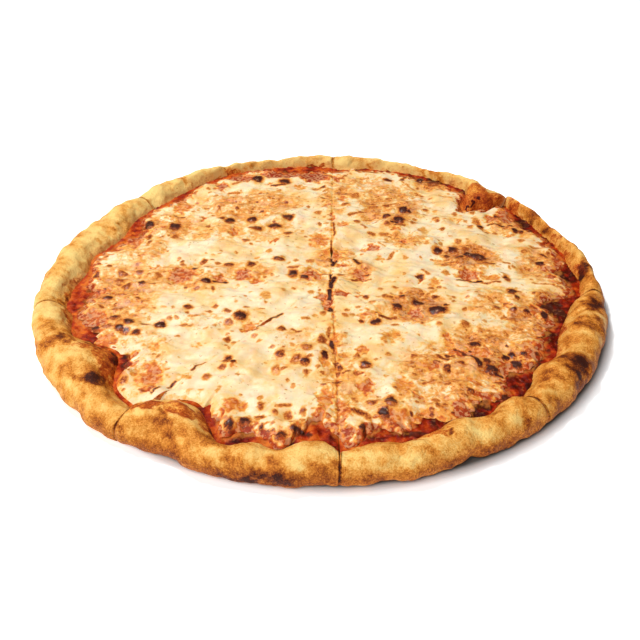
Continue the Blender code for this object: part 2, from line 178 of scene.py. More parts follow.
# Blisters in the cheese: across, down, wide, deep, and how dark it baked.
BLISTERS = (
    (257, 179, 6.5, 8, 95), (285, 182, 7.5, 6, 85), (388, 180, 6, 3, 75), (402, 180, 2.6, 4, 85),
    (405, 178, 1.8, 2.5, 85), (420, 180, 5, 6, 95), (433, 183, 9, 9, 80), (418, 188, 2, 2.5, 60),
    (323, 187, 3.5, 3, 80), (316, 188, 5, 3, 50), (279, 191, 3, 3, 40), (216, 196, 2.5, 2, 50),
    (250, 194, 2.5, 3, 35), (355, 196, 5.5, 5, 50), (373, 207, 6, 5, 50), (388, 206, 2.5, 3, 60),
    (344, 206, 3, 3, 50), (389, 201, 2.5, 2, 45), (379, 191, 2.5, 2.5, 30), (403, 210, 5, 6.5, 97),
    (409, 212, 3, 4, 90), (399, 221, 7, 8.5, 95), (386, 217, 4.5, 4, 85), (387, 225, 4, 4, 60),
    (357, 221, 3.5, 4, 60), (371, 233, 4.5, 3, 60), (384, 233, 5.5, 4, 50), (425, 209, 3.5, 2.5, 60),
    (425, 214, 3.5, 1.5, 45), (416, 212, 3, 2, 40), (415, 219, 3, 2, 45), (413, 223, 3, 2, 50),
    (436, 219, 4, 3, 45), (424, 230, 4.5, 7, 25), (426, 245, 3, 3, 40), (318, 213, 4, 3.5, 45),
    (320, 223, 2.2, 3, 50), (288, 218, 6.5, 5.5, 90), (275, 226, 8, 5.5, 85), (288, 233, 5, 4.5, 75),
    (258, 229, 6.5, 4.5, 80), (252, 220, 6.5, 5, 85), (230, 221, 6, 6.5, 90), (222, 219, 4, 2, 70),
    (208, 226, 2.8, 4, 65), (231, 212, 4, 2.5, 40), (175, 227, 7, 8.5, 85), (175, 237, 4.5, 3.5, 55),
    (246, 240, 4.2, 3, 60), (251, 243, 2, 2, 50), (278, 214, 3.2, 2.2, 40), (274, 222, 2.2, 2.5, 60),
    (269, 252, 3.5, 4, 35), (279, 260, 6.5, 3.5, 75), (257, 257, 3.2, 2, 35), (251, 265, 4.5, 5.5, 75),
    (229, 265, 5.5, 4, 75), (204, 260, 4, 5, 70), (206, 268, 4.2, 2.2, 60), (195, 267, 3.5, 3, 85),
    (183, 264, 3.6, 2.4, 55), (218, 263, 3.6, 2.2, 50), (179, 259, 2.5, 2.2, 40), (159, 275, 4.5, 6, 50),
    (149, 237, 3.4, 5.5, 65), (148, 244, 2.6, 5, 50), (106, 255, 2.6, 3.2, 60), (96, 275, 3.6, 4.5, 75),
    (109, 266, 3, 3.2, 65), (123, 273, 5.5, 4, 65), (139, 272, 5, 4.2, 70), (137, 265, 3, 2.6, 50),
    (148, 275, 2.4, 2.6, 60), (119, 280, 5.5, 6, 60), (127, 287, 5, 6, 70), (142, 285, 3.8, 6, 80),
    (108, 299, 5.5, 4.5, 85), (115, 317, 5.5, 5, 75), (129, 322, 5.6, 6.5, 92), (119, 328, 5, 5.5, 85),
    (125, 331, 4.2, 5.5, 80), (136, 333, 4.8, 5, 85), (145, 324, 5, 4, 65), (160, 324, 6, 6, 97),
    (95, 326, 5, 5, 85), (107, 325, 5.5, 4.5, 60), (86, 340, 6, 4.5, 90), (124, 362, 5, 7, 75),
    (123, 380, 4, 5, 70), (206, 282, 5.6, 4.5, 95), (213, 289, 2.4, 4.5, 65), (293, 273, 5.4, 8.5, 90),
    (304, 277, 4.5, 5, 85), (310, 261, 5, 4, 55), (296, 260, 3, 3, 45), (272, 274, 2, 3, 50),
    (284, 291, 2.6, 4, 35), (266, 296, 6, 7, 30), (266, 302, 2, 2.4, 45), (311, 291, 2.6, 4, 35),
    (188, 307, 4.6, 4.5, 75), (187, 312, 2.6, 3, 55), (173, 307, 2, 3.6, 40), (169, 318, 3, 2.4, 50),
    (177, 318, 2, 2, 45), (184, 325, 4.2, 4.8, 50), (197, 317, 2.4, 2.2, 50), (215, 305, 2.8, 3.8, 55),
    (209, 311, 3.4, 2.2, 50), (228, 311, 4.6, 3.4, 60), (241, 316, 7, 7.5, 92), (229, 322, 4.2, 4.5, 60),
    (247, 307, 3.2, 2.2, 50), (227, 339, 3, 5, 65), (229, 348, 1.4, 2.2, 50), (281, 329, 4.2, 4.8, 70),
    (323, 314, 3, 3.4, 50), (292, 344, 3.2, 3.4, 40), (307, 348, 6, 6, 60), (322, 340, 4.8, 6.5, 65),
    (327, 333, 1.4, 3.4, 60), (280, 354, 4.6, 7, 70), (276, 369, 4.8, 8, 50), (284, 368, 3.2, 3, 65),
    (296, 360, 5.5, 8, 60), (305, 362, 5.5, 6.5, 88), (318, 367, 2.4, 4.5, 50), (306, 372, 3.6, 4, 65),
    (322, 373, 2.4, 2.6, 60), (325, 355, 3.2, 7.5, 92), (227, 360, 4.8, 6.5, 80), (233, 363, 3, 2.4, 90),
    (222, 368, 4.2, 4.2, 65), (207, 376, 5.2, 5, 60), (238, 375, 3, 2.4, 55), (158, 356, 1.4, 2.2, 50),
    (218, 390, 2, 5.5, 35), (261, 405, 3.8, 6, 75), (260, 416, 6, 3.2, 70), (261, 427, 2.4, 4, 85),
    (245, 422, 7, 8, 90), (229, 426, 4.5, 10, 88), (275, 412, 3.6, 5, 60), (288, 414, 4.2, 6, 60),
    (303, 412, 3.2, 4.4, 65), (303, 419, 3, 2.4, 60), (320, 407, 2.6, 3, 55), (298, 429, 8.5, 5.5, 97),
    (309, 431, 3.5, 4.5, 85), (281, 435, 6, 7, 85), (266, 432, 4, 5, 60), (336, 363, 3.2, 4.2, 75),
    (340, 366, 3.2, 6, 85), (338, 373, 2.4, 4.8, 70), (338, 382, 4.4, 4.4, 80), (347, 309, 3.4, 2.4, 50),
    (345, 316, 3.4, 3, 45), (362, 320, 3.2, 4.4, 75), (376, 321, 5.4, 5.5, 92), (357, 356, 3.4, 6, 50),
    (366, 365, 6, 8, 93), (375, 360, 2, 2.4, 60), (388, 354, 3, 4, 45), (356, 374, 5, 4.5, 60),
    (354, 397, 2.8, 4, 50), (372, 402, 6, 4.4, 72), (379, 399, 3.6, 2.4, 40), (391, 403, 7, 9, 92),
    (384, 414, 6, 8, 93), (363, 430, 3.4, 9, 90), (367, 275, 3, 5, 85), (341, 275, 3.6, 4, 60),
    (405, 258, 3, 4, 40), (420, 277, 4.4, 6, 75), (404, 274, 2, 3.4, 40), (395, 288, 3.6, 2.4, 45),
    (380, 289, 3, 3.4, 40), (385, 297, 3, 4.4, 60), (366, 297, 3, 5.5, 70), (372, 304, 3.6, 4, 50),
    (402, 298, 3.4, 6, 75), (397, 307, 5.6, 6.5, 88), (418, 303, 6.5, 7, 97), (395, 324, 4.2, 2.4, 50),
    (399, 336, 3, 4, 40), (421, 292, 2.6, 3.6, 50), (428, 294, 2.6, 2.6, 55), (423, 298, 3.8, 3, 50),
    (435, 297, 3.8, 3.4, 70), (431, 287, 3, 3.4, 65), (439, 287, 2.6, 4, 65), (437, 310, 10, 7, 98),
    (446, 305, 3.4, 2.4, 85), (465, 309, 2, 2.4, 50), (481, 307, 2.6, 2.6, 50), (491, 299, 2.6, 3.4, 65),
    (496, 308, 4.6, 6, 65), (505, 303, 3, 3, 65), (504, 317, 2.6, 3.4, 60), (513, 311, 3.8, 4.8, 75),
    (512, 292, 4.8, 6.5, 85), (517, 298, 3, 4.4, 85), (465, 326, 5, 5.5, 50), (439, 326, 2.8, 4, 40),
    (482, 339, 3, 3, 40), (495, 335, 2.6, 2.6, 45), (506, 333, 2.6, 4, 50), (476, 344, 5.4, 5, 85),
    (434, 348, 2.4, 2.4, 45), (470, 347, 2.6, 3.4, 50), (448, 355, 2.8, 4.4, 80), (453, 357, 3, 4, 70),
    (437, 362, 4.4, 6, 65), (447, 369, 4.4, 7, 80), (461, 364, 4.4, 2.6, 80), (480, 366, 3.8, 5.5, 92),
    (487, 363, 5, 7.5, 85), (492, 370, 8, 9, 95), (504, 356, 2.2, 4, 90), (507, 356, 2.2, 4, 90),
    (513, 354, 4.4, 4.4, 92), (518, 363, 6, 8, 96), (470, 391, 4.6, 5.4, 85), (441, 378, 2.2, 4, 55),
    (491, 393, 3.8, 3.4, 70), (487, 399, 3.8, 3.4, 65), (506, 394, 6, 7, 88), (436, 399, 4, 4.4, 55),
    (438, 405, 2.8, 5.4, 75), (432, 410, 2.8, 4.4, 62), (435, 423, 5, 5.5, 72), (419, 430, 11, 5, 80),
    (412, 413, 2, 3.4, 85), (480, 410, 2.2, 3, 80), (454, 215, 2.8, 3.4, 45), (472, 214, 3, 2.4, 50),
    (477, 222, 4.6, 8, 45), (480, 227, 3.2, 4, 80), (470, 227, 3.2, 3.4, 55), (487, 232, 2.6, 2.6, 65),
    (495, 232, 3.6, 2.6, 45), (497, 217, 4, 6, 70), (515, 231, 3.8, 5.4, 97), (521, 232, 2.6, 3.4, 85),
    (528, 229, 5, 7.4, 88), (527, 222, 3, 4, 90), (521, 241, 4, 2.8, 45), (441, 243, 2.6, 3.6, 40),
    (458, 242, 3.8, 4.4, 50), (438, 250, 5.4, 6, 88), (453, 250, 5.4, 6.4, 85), (447, 256, 3.2, 4.4, 80),
    (459, 258, 5, 6.4, 80), (468, 256, 5.6, 8.4, 95), (478, 257, 10.5, 11, 100), (465, 249, 4.6, 4.4, 60),
    (444, 265, 5, 3.4, 60), (486, 264, 5.4, 3.6, 60), (507, 278, 3.6, 7, 75), (446, 273, 3.6, 4, 40),
    (524, 253, 3.2, 3.4, 50), (540, 263, 4.6, 5.4, 92), (533, 257, 3.2, 2.4, 50), (531, 281, 2, 2.4, 50),
    (534, 294, 2.2, 3.2, 65), (560, 294, 2.6, 2.6, 60), (558, 301, 5.4, 5.4, 85), (548, 305, 8, 9, 96),
    (561, 309, 6, 7, 90), (568, 312, 5.4, 6.4, 97), (545, 315, 3.6, 9, 92), (527, 313, 4, 6, 80),
    (533, 306, 3.2, 4, 60), (550, 347, 2.6, 4.4, 70), (541, 361, 2.4, 3.4, 90), (525, 354, 4, 5, 80),
    (538, 354, 3.5, 4.5, 75), (149, 225, 6.5, 8, 90),
)

# Dark lines in the cheese and along the cuts: across and down of both ends, width, how dark.
STREAKS = (
    (272, 185, 285, 185.5, 2, 70), (229, 191.5, 238, 191, 2.2, 50), (233, 184, 247, 182, 1.6, 50),
    (270, 196, 283, 196, 1.5, 30), (356, 171.5, 376, 173, 2.2, 80), (361, 178, 368, 177.5, 2, 40),
    (352, 180, 360, 182, 1.6, 35), (336, 171, 345, 172, 2, 85), (339, 179, 346, 176, 1.8, 50),
    (416, 192.5, 423, 195, 2, 50), (402, 183, 416, 191, 1.5, 35), (384, 205, 395, 204.5, 1.5, 55),
    (350, 214, 366, 211, 2.4, 50), (365, 218.5, 378, 217, 2, 45), (362, 224, 366, 229, 1.6, 50),
    (391, 223, 397, 224.5, 1.6, 85), (395, 226, 404, 226, 1.8, 60), (378, 242, 385, 247, 1.2, 30),
    (489, 224.5, 503, 226, 1.8, 75), (440, 196, 452, 199, 1.6, 35), (503, 263, 509, 265, 1.5, 50),
    (541, 254, 547, 257, 1.8, 70), (530, 246, 538, 248, 1.8, 50), (214, 281.5, 226, 281.5, 1.8, 85),
    (175, 216.5, 184, 217, 1.5, 60), (292, 328, 297, 331.5, 1.5, 60), (297, 331.5, 301, 330.5, 1.5, 60),
    (302, 319.5, 308, 319.5, 1.8, 40), (288, 266, 297, 267, 1.8, 50), (354, 260, 359, 266, 2.2, 80),
    (388, 258, 393, 254, 1.8, 45), (423, 271, 428, 275, 1.6, 50), (381, 316, 395, 317, 2.2, 65),
    (438, 354, 448, 361, 2.2, 65), (456, 349, 470, 356, 2.6, 75), (472, 358, 480, 366, 2.2, 85),
    (496, 373, 503, 374, 1.8, 85), (488, 296, 494, 303, 1.4, 45), (508, 319, 516, 322, 1.5, 50),
    (424, 383, 433, 381, 1.8, 50), (352, 409, 366, 413, 2.6, 66), (366, 413, 369, 418, 2.6, 50),
    (277, 406, 290, 404.5, 1.6, 50), (264, 430, 273, 429, 1.6, 60), (343, 373, 349, 371, 1.8, 60),
    (496, 380, 505, 381, 2, 65), (458, 279.7, 482, 280.2, 1.5, 85), (483, 281.6, 500, 282.4, 1.2, 55),
    (533, 284.5, 562, 287.5, 1, 45), (352, 279.3, 370, 279.5, 1.3, 60), (333.5, 222, 334.5, 236, 1.1, 65),
    (331.5, 240, 331, 249, 1.1, 50), (331.5, 258, 333, 265, 1.7, 90), (337, 260, 333, 265, 1.5, 80),
    (331, 272, 330.5, 278, 1.4, 85), (334, 278.5, 330.5, 287, 2.6, 100), (330, 290, 329.5, 297, 2.2, 90),
    (330, 306, 330.5, 311, 2.2, 92), (281, 313.5, 270, 320, 1.5, 85), (257, 329, 246, 331, 1.6, 50),
    (206, 362, 197, 366.5, 0.8, 50), (197, 366.5, 191, 370, 0.9, 75), (176, 380, 168, 386, 0.9, 80),
    (160, 388, 151, 395, 0.9, 80), (331, 340, 332.5, 347, 2.4, 80), (333, 349, 333, 353, 1.3, 50),
    (333, 384, 333, 398, 1, 30), (337.5, 405, 338, 428, 1, 45), (329, 328, 329, 336, 1.6, 50),
)

# Places where the cheese is thin: across, down, wide, deep, and how far the sauce shows through
# (35 is yellow oil, 60 orange and 90 red).
THIN_PATCHES = (
    (183, 274, 20, 20, 80), (155, 267, 8, 4, 70), (183, 208, 12, 20, 62), (171, 202, 5, 13, 95),
    (163, 229, 7, 8, 75), (204, 218, 4.5, 8, 70), (234, 231, 6, 13, 70), (220, 278, 7.5, 8, 75),
    (242, 274, 12, 12, 78), (257, 279, 10, 7, 60), (312, 274, 12.5, 14, 80), (319, 239, 13, 20, 62),
    (326, 206, 4, 11, 70), (332, 216, 4, 9, 75), (342, 198, 7, 9, 58), (343, 224, 10, 11, 60),
    (275, 241, 6.5, 6, 75), (300, 187, 10, 8, 52), (269, 182, 5, 6, 60), (373, 247, 7.5, 9, 90),
    (364, 248, 5, 6, 62), (404, 240, 6.5, 12, 65), (396, 229, 6, 5, 50), (455, 220, 16, 3, 48),
    (485, 229, 7, 6, 45), (468, 274, 15, 12, 85), (491, 277, 12, 8, 55), (360, 274, 11, 13, 80),
    (343, 265, 9, 5, 75), (323, 295, 8, 7, 85), (341, 293, 10, 6, 85), (330, 300, 4, 18, 95),
    (326, 304, 4, 14, 70), (360, 293, 3.5, 7, 60), (415, 312, 9, 12, 85), (405, 316, 7, 8, 60),
    (370, 314, 13, 7, 55), (393, 337, 14, 15, 42), (433, 283, 7, 9, 50), (421, 278, 4, 6, 85),
    (249, 326, 8.5, 11, 60), (138, 298, 8, 9, 50), (95, 292, 9, 8, 80), (108, 288, 9, 10, 50),
    (119, 289, 5, 8, 65), (95, 318, 18, 18, 75), (155, 347, 6, 9, 50), (196, 345, 6, 5, 35),
    (150, 375, 12, 24, 62), (150, 390, 5, 8, 90), (135, 371, 4, 8, 52), (183, 376, 12, 6, 36),
    (234, 366, 4, 5, 50), (235, 404, 12, 10, 55), (242, 376, 5, 10, 30), (325, 398, 9, 16, 60),
    (303, 424, 12, 6, 60), (245, 430, 13, 8, 65), (333, 340, 7, 14, 60), (325, 362, 6, 9, 55),
    (338, 370, 8, 24, 48), (366, 386, 9, 9, 75), (403, 386, 10, 16, 55), (418, 396, 5, 7, 65),
    (344, 408, 8, 16, 60), (342, 418, 3.5, 10, 70), (362, 350, 7, 9, 50), (356, 374, 6, 4, 70),
    (425, 365, 12, 9, 45), (433, 366, 5, 12, 60), (448, 338, 5, 12, 60), (450, 350, 6, 12, 55),
    (462, 352, 10, 8, 75), (478, 352, 8, 14, 60), (486, 350, 3.5, 14, 65), (475, 380, 10, 12, 55),
    (500, 378, 10, 6, 60), (506, 303, 5, 12, 55), (509, 366, 8, 18, 85), (462, 412, 10, 20, 90),
    (466, 405, 5, 9, 95), (500, 405, 4, 7, 90), (525, 346, 14, 8, 60), (530, 354, 14, 8, 85),
    (540, 350, 5, 8, 70), (535, 310, 8, 14, 75), (545, 268, 6, 8, 85), (552, 277, 6, 6, 95),
    (555, 283, 7, 6, 70), (548, 330, 5, 10, 85), (507, 218, 10, 15, 90), (478, 222, 5, 6, 60),
    (508, 235, 6, 6, 50), (380, 258, 6, 5, 45), (105, 338, 14, 10, 70), (492, 219, 12, 12, 72),
    (398, 417, 16, 12, 60), (428, 416, 16, 12, 60), (337, 256, 11, 14, 60), (326, 252, 7, 10, 52),
)

# Places beside the rim where the cheese is so thin that the sauce alone shows, as above.
BARE_PATCHES = (
    (315, 176, 24, 17, 115), (284, 174, 38, 14, 110), (240, 178, 24, 12, 100), (335, 178, 12, 12, 80),
    (222, 186, 10, 13, 95), (184, 195, 5, 9, 90), (171, 200, 6.5, 22, 95), (120, 240, 9, 15, 95),
    (136, 238, 11, 26, 68), (82, 291, 10.5, 21, 95), (79, 308, 8.5, 19, 90), (262, 436, 12, 6, 95),
    (240, 434, 22, 6, 90), (317, 438, 14, 10, 95), (349, 432, 6, 10, 95), (385, 432, 15, 9, 82),
    (446, 428, 8, 8, 62), (466, 411, 12, 13, 92), (500, 405, 5, 7, 95), (525, 372, 17, 20, 82),
    (550, 357, 5.5, 14, 95), (557, 328, 10, 27, 95), (573, 305, 4.5, 9.5, 95), (570, 280, 9, 18, 95),
    (560, 262, 8, 16, 90), (506, 216, 12, 25, 88),
)

# Wide areas where the cheese browned more: across, down, wide, deep, and how much.
TOASTED = (
    (390, 205, 66, 84, 68), (428, 222, 40, 60, 38), (250, 205, 90, 60, 68), (235, 232, 110, 40, 50),
    (115, 300, 54, 100, 75), (185, 275, 60, 40, 65), (245, 270, 50, 26, 55), (310, 275, 34, 34, 60),
    (230, 315, 70, 44, 32), (300, 345, 44, 54, 42), (270, 418, 80, 44, 34), (337, 372, 26, 100, 58),
    (378, 395, 64, 70, 46), (385, 315, 44, 28, 45), (417, 306, 42, 40, 95), (355, 270, 28, 28, 60),
    (467, 257, 52, 42, 86), (515, 225, 44, 44, 65), (542, 265, 44, 54, 65), (505, 305, 54, 44, 60),
    (490, 350, 64, 54, 75), (450, 368, 64, 54, 72), (508, 370, 54, 44, 82), (535, 320, 44, 50, 85),
    (465, 402, 44, 44, 80), (425, 418, 48, 30, 64), (172, 226, 46, 46, 74), (150, 368, 26, 44, 50),
    (325, 235, 24, 60, 45), (285, 225, 34, 34, 45), (431, 180, 32, 40, 100), (475, 256, 34, 30, 80),
    (570, 270, 20, 30, 90), (394, 218, 26, 40, 62), (555, 306, 30, 40, 100), (492, 368, 30, 26, 92),
    (336, 195, 34, 70, 62), (362, 182, 46, 34, 58), (336, 258, 34, 34, 64), (404, 240, 46, 30, 64),
    (208, 320, 46, 26, 46), (142, 250, 46, 50, 58), (142, 340, 40, 26, 48), (430, 396, 46, 32, 60),
)

# Marks baked into the rim: across, down, wide, deep, and how much browner it is there. The wide marks low
# on the near foot are partly painted shade.
RIM_MARKS = (
    (90, 377, 17, 9, 55), (62, 334, 12, 7, 36), (70, 338, 4, 12, 40), (68, 300, 3.5, 20, 45),
    (165, 427, 14, 16, 28), (162, 412, 6, 9, 45), (582, 268, 10, 14, 66), (594, 305, 14, 14, 40),
    (577, 361, 14, 20, 45), (528, 423, 8, 10, 30), (533, 216, 20, 12, 32), (548, 230, 14, 10, 28),
    (512, 205, 20, 7, 26), (188, 179, 16, 7, 28), (227, 171, 5, 3, 60), (244, 172, 6, 10, 30),
    (178, 185, 3, 2.5, 70), (109, 230, 10, 9, 36), (378, 163, 8, 6, 25), (370, 167, 5, 6, 30),
    (402, 167, 4, 5, 50), (425, 175, 12, 5, 42), (440, 180, 10, 8, 34), (490, 190, 5, 9, 25),
    (451, 429, 5, 4, 50), (494, 413, 6, 4, 35), (105, 378, 6, 6, 45), (478, 200, 4, 5, 100),
    (474, 203, 4.2, 5, 120), (470, 206, 4.2, 5, 120), (466, 210, 3.8, 5, 120), (47, 340, 14, 9, 34),
    (56, 337, 10, 6, 50), (98, 241, 9, 5, 24), (313, 475, 16, 7, 34), (285, 466, 12, 8, 20),
    (601, 322, 8, 16, 50), (590, 320, 18, 20, 26), (298, 482, 64, 10, 54), (314, 476, 32, 10, 40),
    (112, 222, 30, 20, 12), (176, 438, 34, 18, 24), (208, 419, 10, 16, 50), (214, 430, 7, 12, 50),
    (118, 358, 8, 22, 42), (98, 341, 14, 8, 45), (118, 222, 5, 4, 30), (508, 208, 26, 7, 26),
)

# Paler places on the rim, as above.
RIM_PALE = (
    (375, 458, 56, 26, 17), (500, 432, 40, 16, 14), (345, 452, 20, 12, 10), (135, 205, 60, 40, 6),
    (308, 452, 22, 14, 10), (234, 458, 26, 14, 26), (255, 448, 24, 16, 10), (464, 441, 26, 16, 15),
    (497, 419, 26, 14, 15), (80, 275, 18, 14, 22), (46, 320, 16, 30, 15), (558, 384, 16, 14, 14),
)

# Sauce and oil that stained the rim: across, down, wide, deep, and how much.
RIM_STAINS = (
    (470, 192, 24, 34, 150), (490, 202, 26, 20, 130), (460, 200, 9, 24, 130), (107, 352, 14, 26, 150),
    (112, 370, 11, 20, 105), (150, 403, 22, 9, 130), (172, 402, 22, 9, 130), (190, 411, 22, 13, 130),
    (203, 418, 12, 14, 110), (211, 430, 9, 16, 130), (225, 183, 22, 5, 80), (512, 214, 12, 18, 85),
    (80, 343, 14, 8, 70), (74, 322, 7, 20, 80), (72, 312, 6, 20, 70), (315, 168, 26, 5, 80),
    (236, 175, 30, 9, 110), (430, 433, 30, 8, 115), (494, 214, 20, 12, 90), (312, 441, 12, 4, 45),
)


# ---- Shape functions, for arrays ----


def bump(distance, spread):
    """1 at distance 0, falling smoothly to 0 at the spread."""
    share = np.minimum(np.abs(distance) / spread, 1.0)
    return np.cos(share * math.pi / 2) ** 2


def turn(a, b):
    """The angle from b to a, from -180 to 180."""
    return (a - b + 180.0) % 360.0 - 180.0


def ease(share):
    """0 to 1, with a level start and end."""
    share = np.clip(share, 0.0, 1.0)
    return share * share * (3.0 - 2.0 * share)


def fade(value, start, end):
    """0 at start and 1 at end, eased; start may be above end."""
    return ease((value - start) / (end - start))


def between(pair, share):
    """The first of the pair at share 0, the second at share 1."""
    return pair[0] + (pair[1] - pair[0]) * share


def waves(seed, bands):
    """The source's smooth random field over the plane, for arrays."""
    rng = np.random.RandomState(seed)
    terms = []
    for wavelength, height in bands:
        for _ in range(SWELL_WAVES):
            heading = rng.uniform(0, 2 * math.pi)
            k = 2 * math.pi / (wavelength * rng.uniform(*WAVE_SPREAD))
            phase = rng.uniform(0, 2 * math.pi)
            strength = height * math.sqrt(2.0 / SWELL_WAVES)
            terms.append((k * math.cos(heading), k * math.sin(heading), phase, strength))

    def field(x, y):
        return sum(s * np.sin(kx * x + ky * y + p) for kx, ky, p, s in terms)

    return field


def solid_waves(seed, bands):
    """A smooth random field through space, for points in an array whose last axis is x, y, z."""
    rng = np.random.RandomState(seed)
    terms = []
    for wavelength, height in bands:
        for _ in range(SOLID_WAVES):
            way = rng.normal(size=3)
            way /= np.linalg.norm(way)
            k = 2 * math.pi / (wavelength * rng.uniform(*SOLID_WAVE_SPREAD))
            phase = rng.uniform(0, 2 * math.pi)
            terms.append((way * k, phase, height * math.sqrt(2.0 / SOLID_WAVES)))

    def field(points):
        return sum(s * np.sin(points @ k + phase) for k, phase, s in terms)

    return field


def next_cut(slice_index):
    return (slice_index + 1) % SLICES


def added_at(angle, stretches):
    """What stretches of an edge, each given as angle, spread and mm, add there."""
    return sum(more * MM * bump(turn(angle, at), spread) for at, spread, more in stretches)


def rim_push(slice_index, angle, way):
    """How far the puffs and the cutter moved the rim INWARD, UPWARD or OUTWARD."""
    total = sum(CUT_DIP[way] * bump(turn(angle, at), CUT_DIP_SPREAD) for at in CUT_ANGLES)
    for pillow in RIM_PILLOWS:
        at, spread, only_slice = pillow[0], pillow[1], pillow[-1]
        if only_slice in (0, slice_index + 1):
            total = total + pillow[way] * bump(turn(angle, at), spread)
    return total * MM


def edge_reach(slice_index, angle):
    c, s = np.cos(np.radians(angle)), np.sin(np.radians(angle))
    along = c * CUT_CROSSING[0] + s * CUT_CROSSING[1]
    off_square = CUT_CROSSING[0] ** 2 + CUT_CROSSING[1] ** 2
    circle = -along + np.sqrt(along**2 + CRUST_RADIUS**2 - off_square)
    stretch = FAR_SIDE_STRETCH * np.maximum(s, 0.0) ** 2
    return circle + stretch + rim_push(slice_index, angle, OUTWARD)


def rim_width(slice_index, angle):
    past_start = turn(angle, NARROW_STRETCH[0]) / NARROW_BLEND[0]
    before_end = turn(NARROW_STRETCH[1], angle) / NARROW_BLEND[1]
    narrow = ease((1 + past_start) / 2) * ease((1 + before_end) / 2)
    return between((RIM_WIDTH, NARROW_RIM_WIDTH), narrow) + rim_push(slice_index, angle, INWARD)


def rim_height(slice_index, angle):
    plain = RIM_HEIGHT + RIM_HEIGHT_BY_Y * np.sin(np.radians(angle))
    return plain + rim_push(slice_index, angle, UPWARD)


def side_angle(cut_index, side, reach, open_share):
    """Where one side of a cut is; its openings are open by the share."""
    share = np.minimum(reach / CRUST_RADIUS, 1.0)
    wide = SHUT_CUT
    for cut, open_side, at, spread, wider in CUT_OPENINGS:
        if (cut, open_side) == (cut_index, side):
            wide = wide + wider * open_share * bump(reach - at, spread)
    offset = 4.0 * CUT_BOWS[cut_index] * MM * share * (1.0 - share) + side * wide
    sine = np.clip(offset / reach, -LARGEST_SINE, LARGEST_SINE)
    return CUT_ANGLES[cut_index] + np.degrees(np.arcsin(sine))


def straight_angle(slice_index, across):
    start = CUT_ANGLES[slice_index]
    return start + across * turn(CUT_ANGLES[next_cut(slice_index)], start)


def place(slice_index, across, reach, open_share=1.0):
    """X and Y in the frame, and how far the point is from the slice's nearer side."""
    start = side_angle(slice_index, 1, reach, open_share)
    wide = turn(side_angle(next_cut(slice_index), -1, reach, open_share), start)
    angle = np.radians(start + across * wide)
    to_side = np.minimum(across, 1.0 - across) * np.radians(wide) * reach
    x = CROSSING_IN_FRAME[0] + reach * np.cos(angle)
    y = CROSSING_IN_FRAME[1] + reach * np.sin(angle)
    return x, y, to_side


def of_nearer_cut(values, slice_index, across):
    """For each point, the value of the cut that it is nearer to."""
    return np.where(across < 0.5, values[slice_index], values[next_cut(slice_index)])


def crease(slice_index, across, to_side):
    """How far the layers sink beside the nearer cut."""
    deep = of_nearer_cut(CUT_CREASES, slice_index, across) * MM
    return deep * np.exp(-to_side / CREASE_WIDTH)


def sauce_reach(slice_index, angle):
    return edge_reach(slice_index, angle) - rim_width(slice_index, angle) - LAYER_GAP


def cheese_reach(slice_index, angle):
    bare = BARE_SAUCE + added_at(angle, BARE_STRETCHES)
    wobble = 0.0
    for count, strength, phase in CHEESE_EDGE_WAVES:
        wobble = wobble + CHEESE_EDGE_WOBBLE * strength * np.sin(count * np.radians(angle) + phase)
    bare = np.maximum(bare - wobble, LEAST_BARE_SHARE * bare)
    return sauce_reach(slice_index, angle) - bare


# ---- The photograph's pixels ----


def camera_ways():
    """Where the camera is, and the ways that it calls right, up and forward."""
    rise = math.radians(CAMERA_RISE)
    forward = Vector((0.0, math.cos(rise), -math.sin(rise)))
    up = Vector((0.0, math.sin(rise), math.cos(rise)))
    return CAMERA_TARGET - forward * CAMERA_DISTANCE, Vector((1.0, 0.0, 0.0)), up, forward


def under_pixel(across, down):
    """The point on the cheese that a pixel of the photograph shows."""
    eye, right, up, forward = camera_ways()
    ray = forward + right * ((across - PHOTO_SIZE / 2) / FOCAL_PIXELS)
    ray += up * ((PHOTO_SIZE / 2 - down) / FOCAL_PIXELS)
    return eye + ray * ((CHEESE_LEVEL - eye.z) / ray.z)


def pixels_of(points):
    """Across, down and distance of points in an array, as the photograph shows them."""
    eye, right, up, forward = camera_ways()
    off = points - np.array(eye)
    deep = off @ np.array(forward)
    across = PHOTO_SIZE / 2 + FOCAL_PIXELS * (off @ np.array(right)) / deep
    down = PHOTO_SIZE / 2 - FOCAL_PIXELS * (off @ np.array(up)) / deep
    return across, down, deep


# ---- What the oven did to the cheese, and its painted highlights ----

WARP = waves(41, ((0.0065, 0.00050), (0.0026, 0.00022)))
WARP_TOO = waves(42, ((0.0065, 0.00050), (0.0026, 0.00022)))
CHEESE_LUMPS = waves(43, ((0.0110, 0.00030), (0.0050, 0.00011)))
EDGE_FRAY = waves(44, ((0.013, 0.0010), (0.0055, 0.0008)))

# Soft edges are from outside to inside, over half a mark's size. A mark is a body with a fainter halo.
BLISTER_WARP = 0.6  # blisters stay rounder than the patches, which are warped twice over
BLISTER_BODY = (1.45, 0.75)
BLISTER_HALO = (2.3, 0.9)
BLISTER_HALO_SHARE = 0.36
BLISTER_REACH = 1.3
HIGHLIGHT_SIZES = (0.0030, 0.0055)  # across; larger blisters have a painted highlight, a pale top toward the camera
HIGHLIGHT_SPOT_EDGE = (0.50, 0.10)
HIGHLIGHT_SPOT_OFF = 0.45
HIGHLIGHTED_NEAR_BURN = 0.72  # painted highlight: a blister's side toward the camera is this much as dark as its far side
HIGHLIGHTED_NEAR_SIDE = (-0.8, 0.4)
DOME_SHARE = 0.24  # a dark blister's height over half its width
DOME_POWER = 1.5
FAR_HALF = (-0.05, 0.15)  # where blisters, whose listed sizes leave out their risen sides, hid more
FAR_WIDER, FAR_DEEPER = 0.12, 0.50
NEAR_EDGE = (-0.082, -0.104)  # where the blisters by the near edge are, which are drawn smaller and paler
NEAR_NARROWER, NEAR_SHORTER, NEAR_PALER = 0.14, 0.10, 0.13
STREAK_WARP = 0.5
STREAK_BODY = (1.5, 0.6)
STREAK_HALO = (3.0, 1.0)
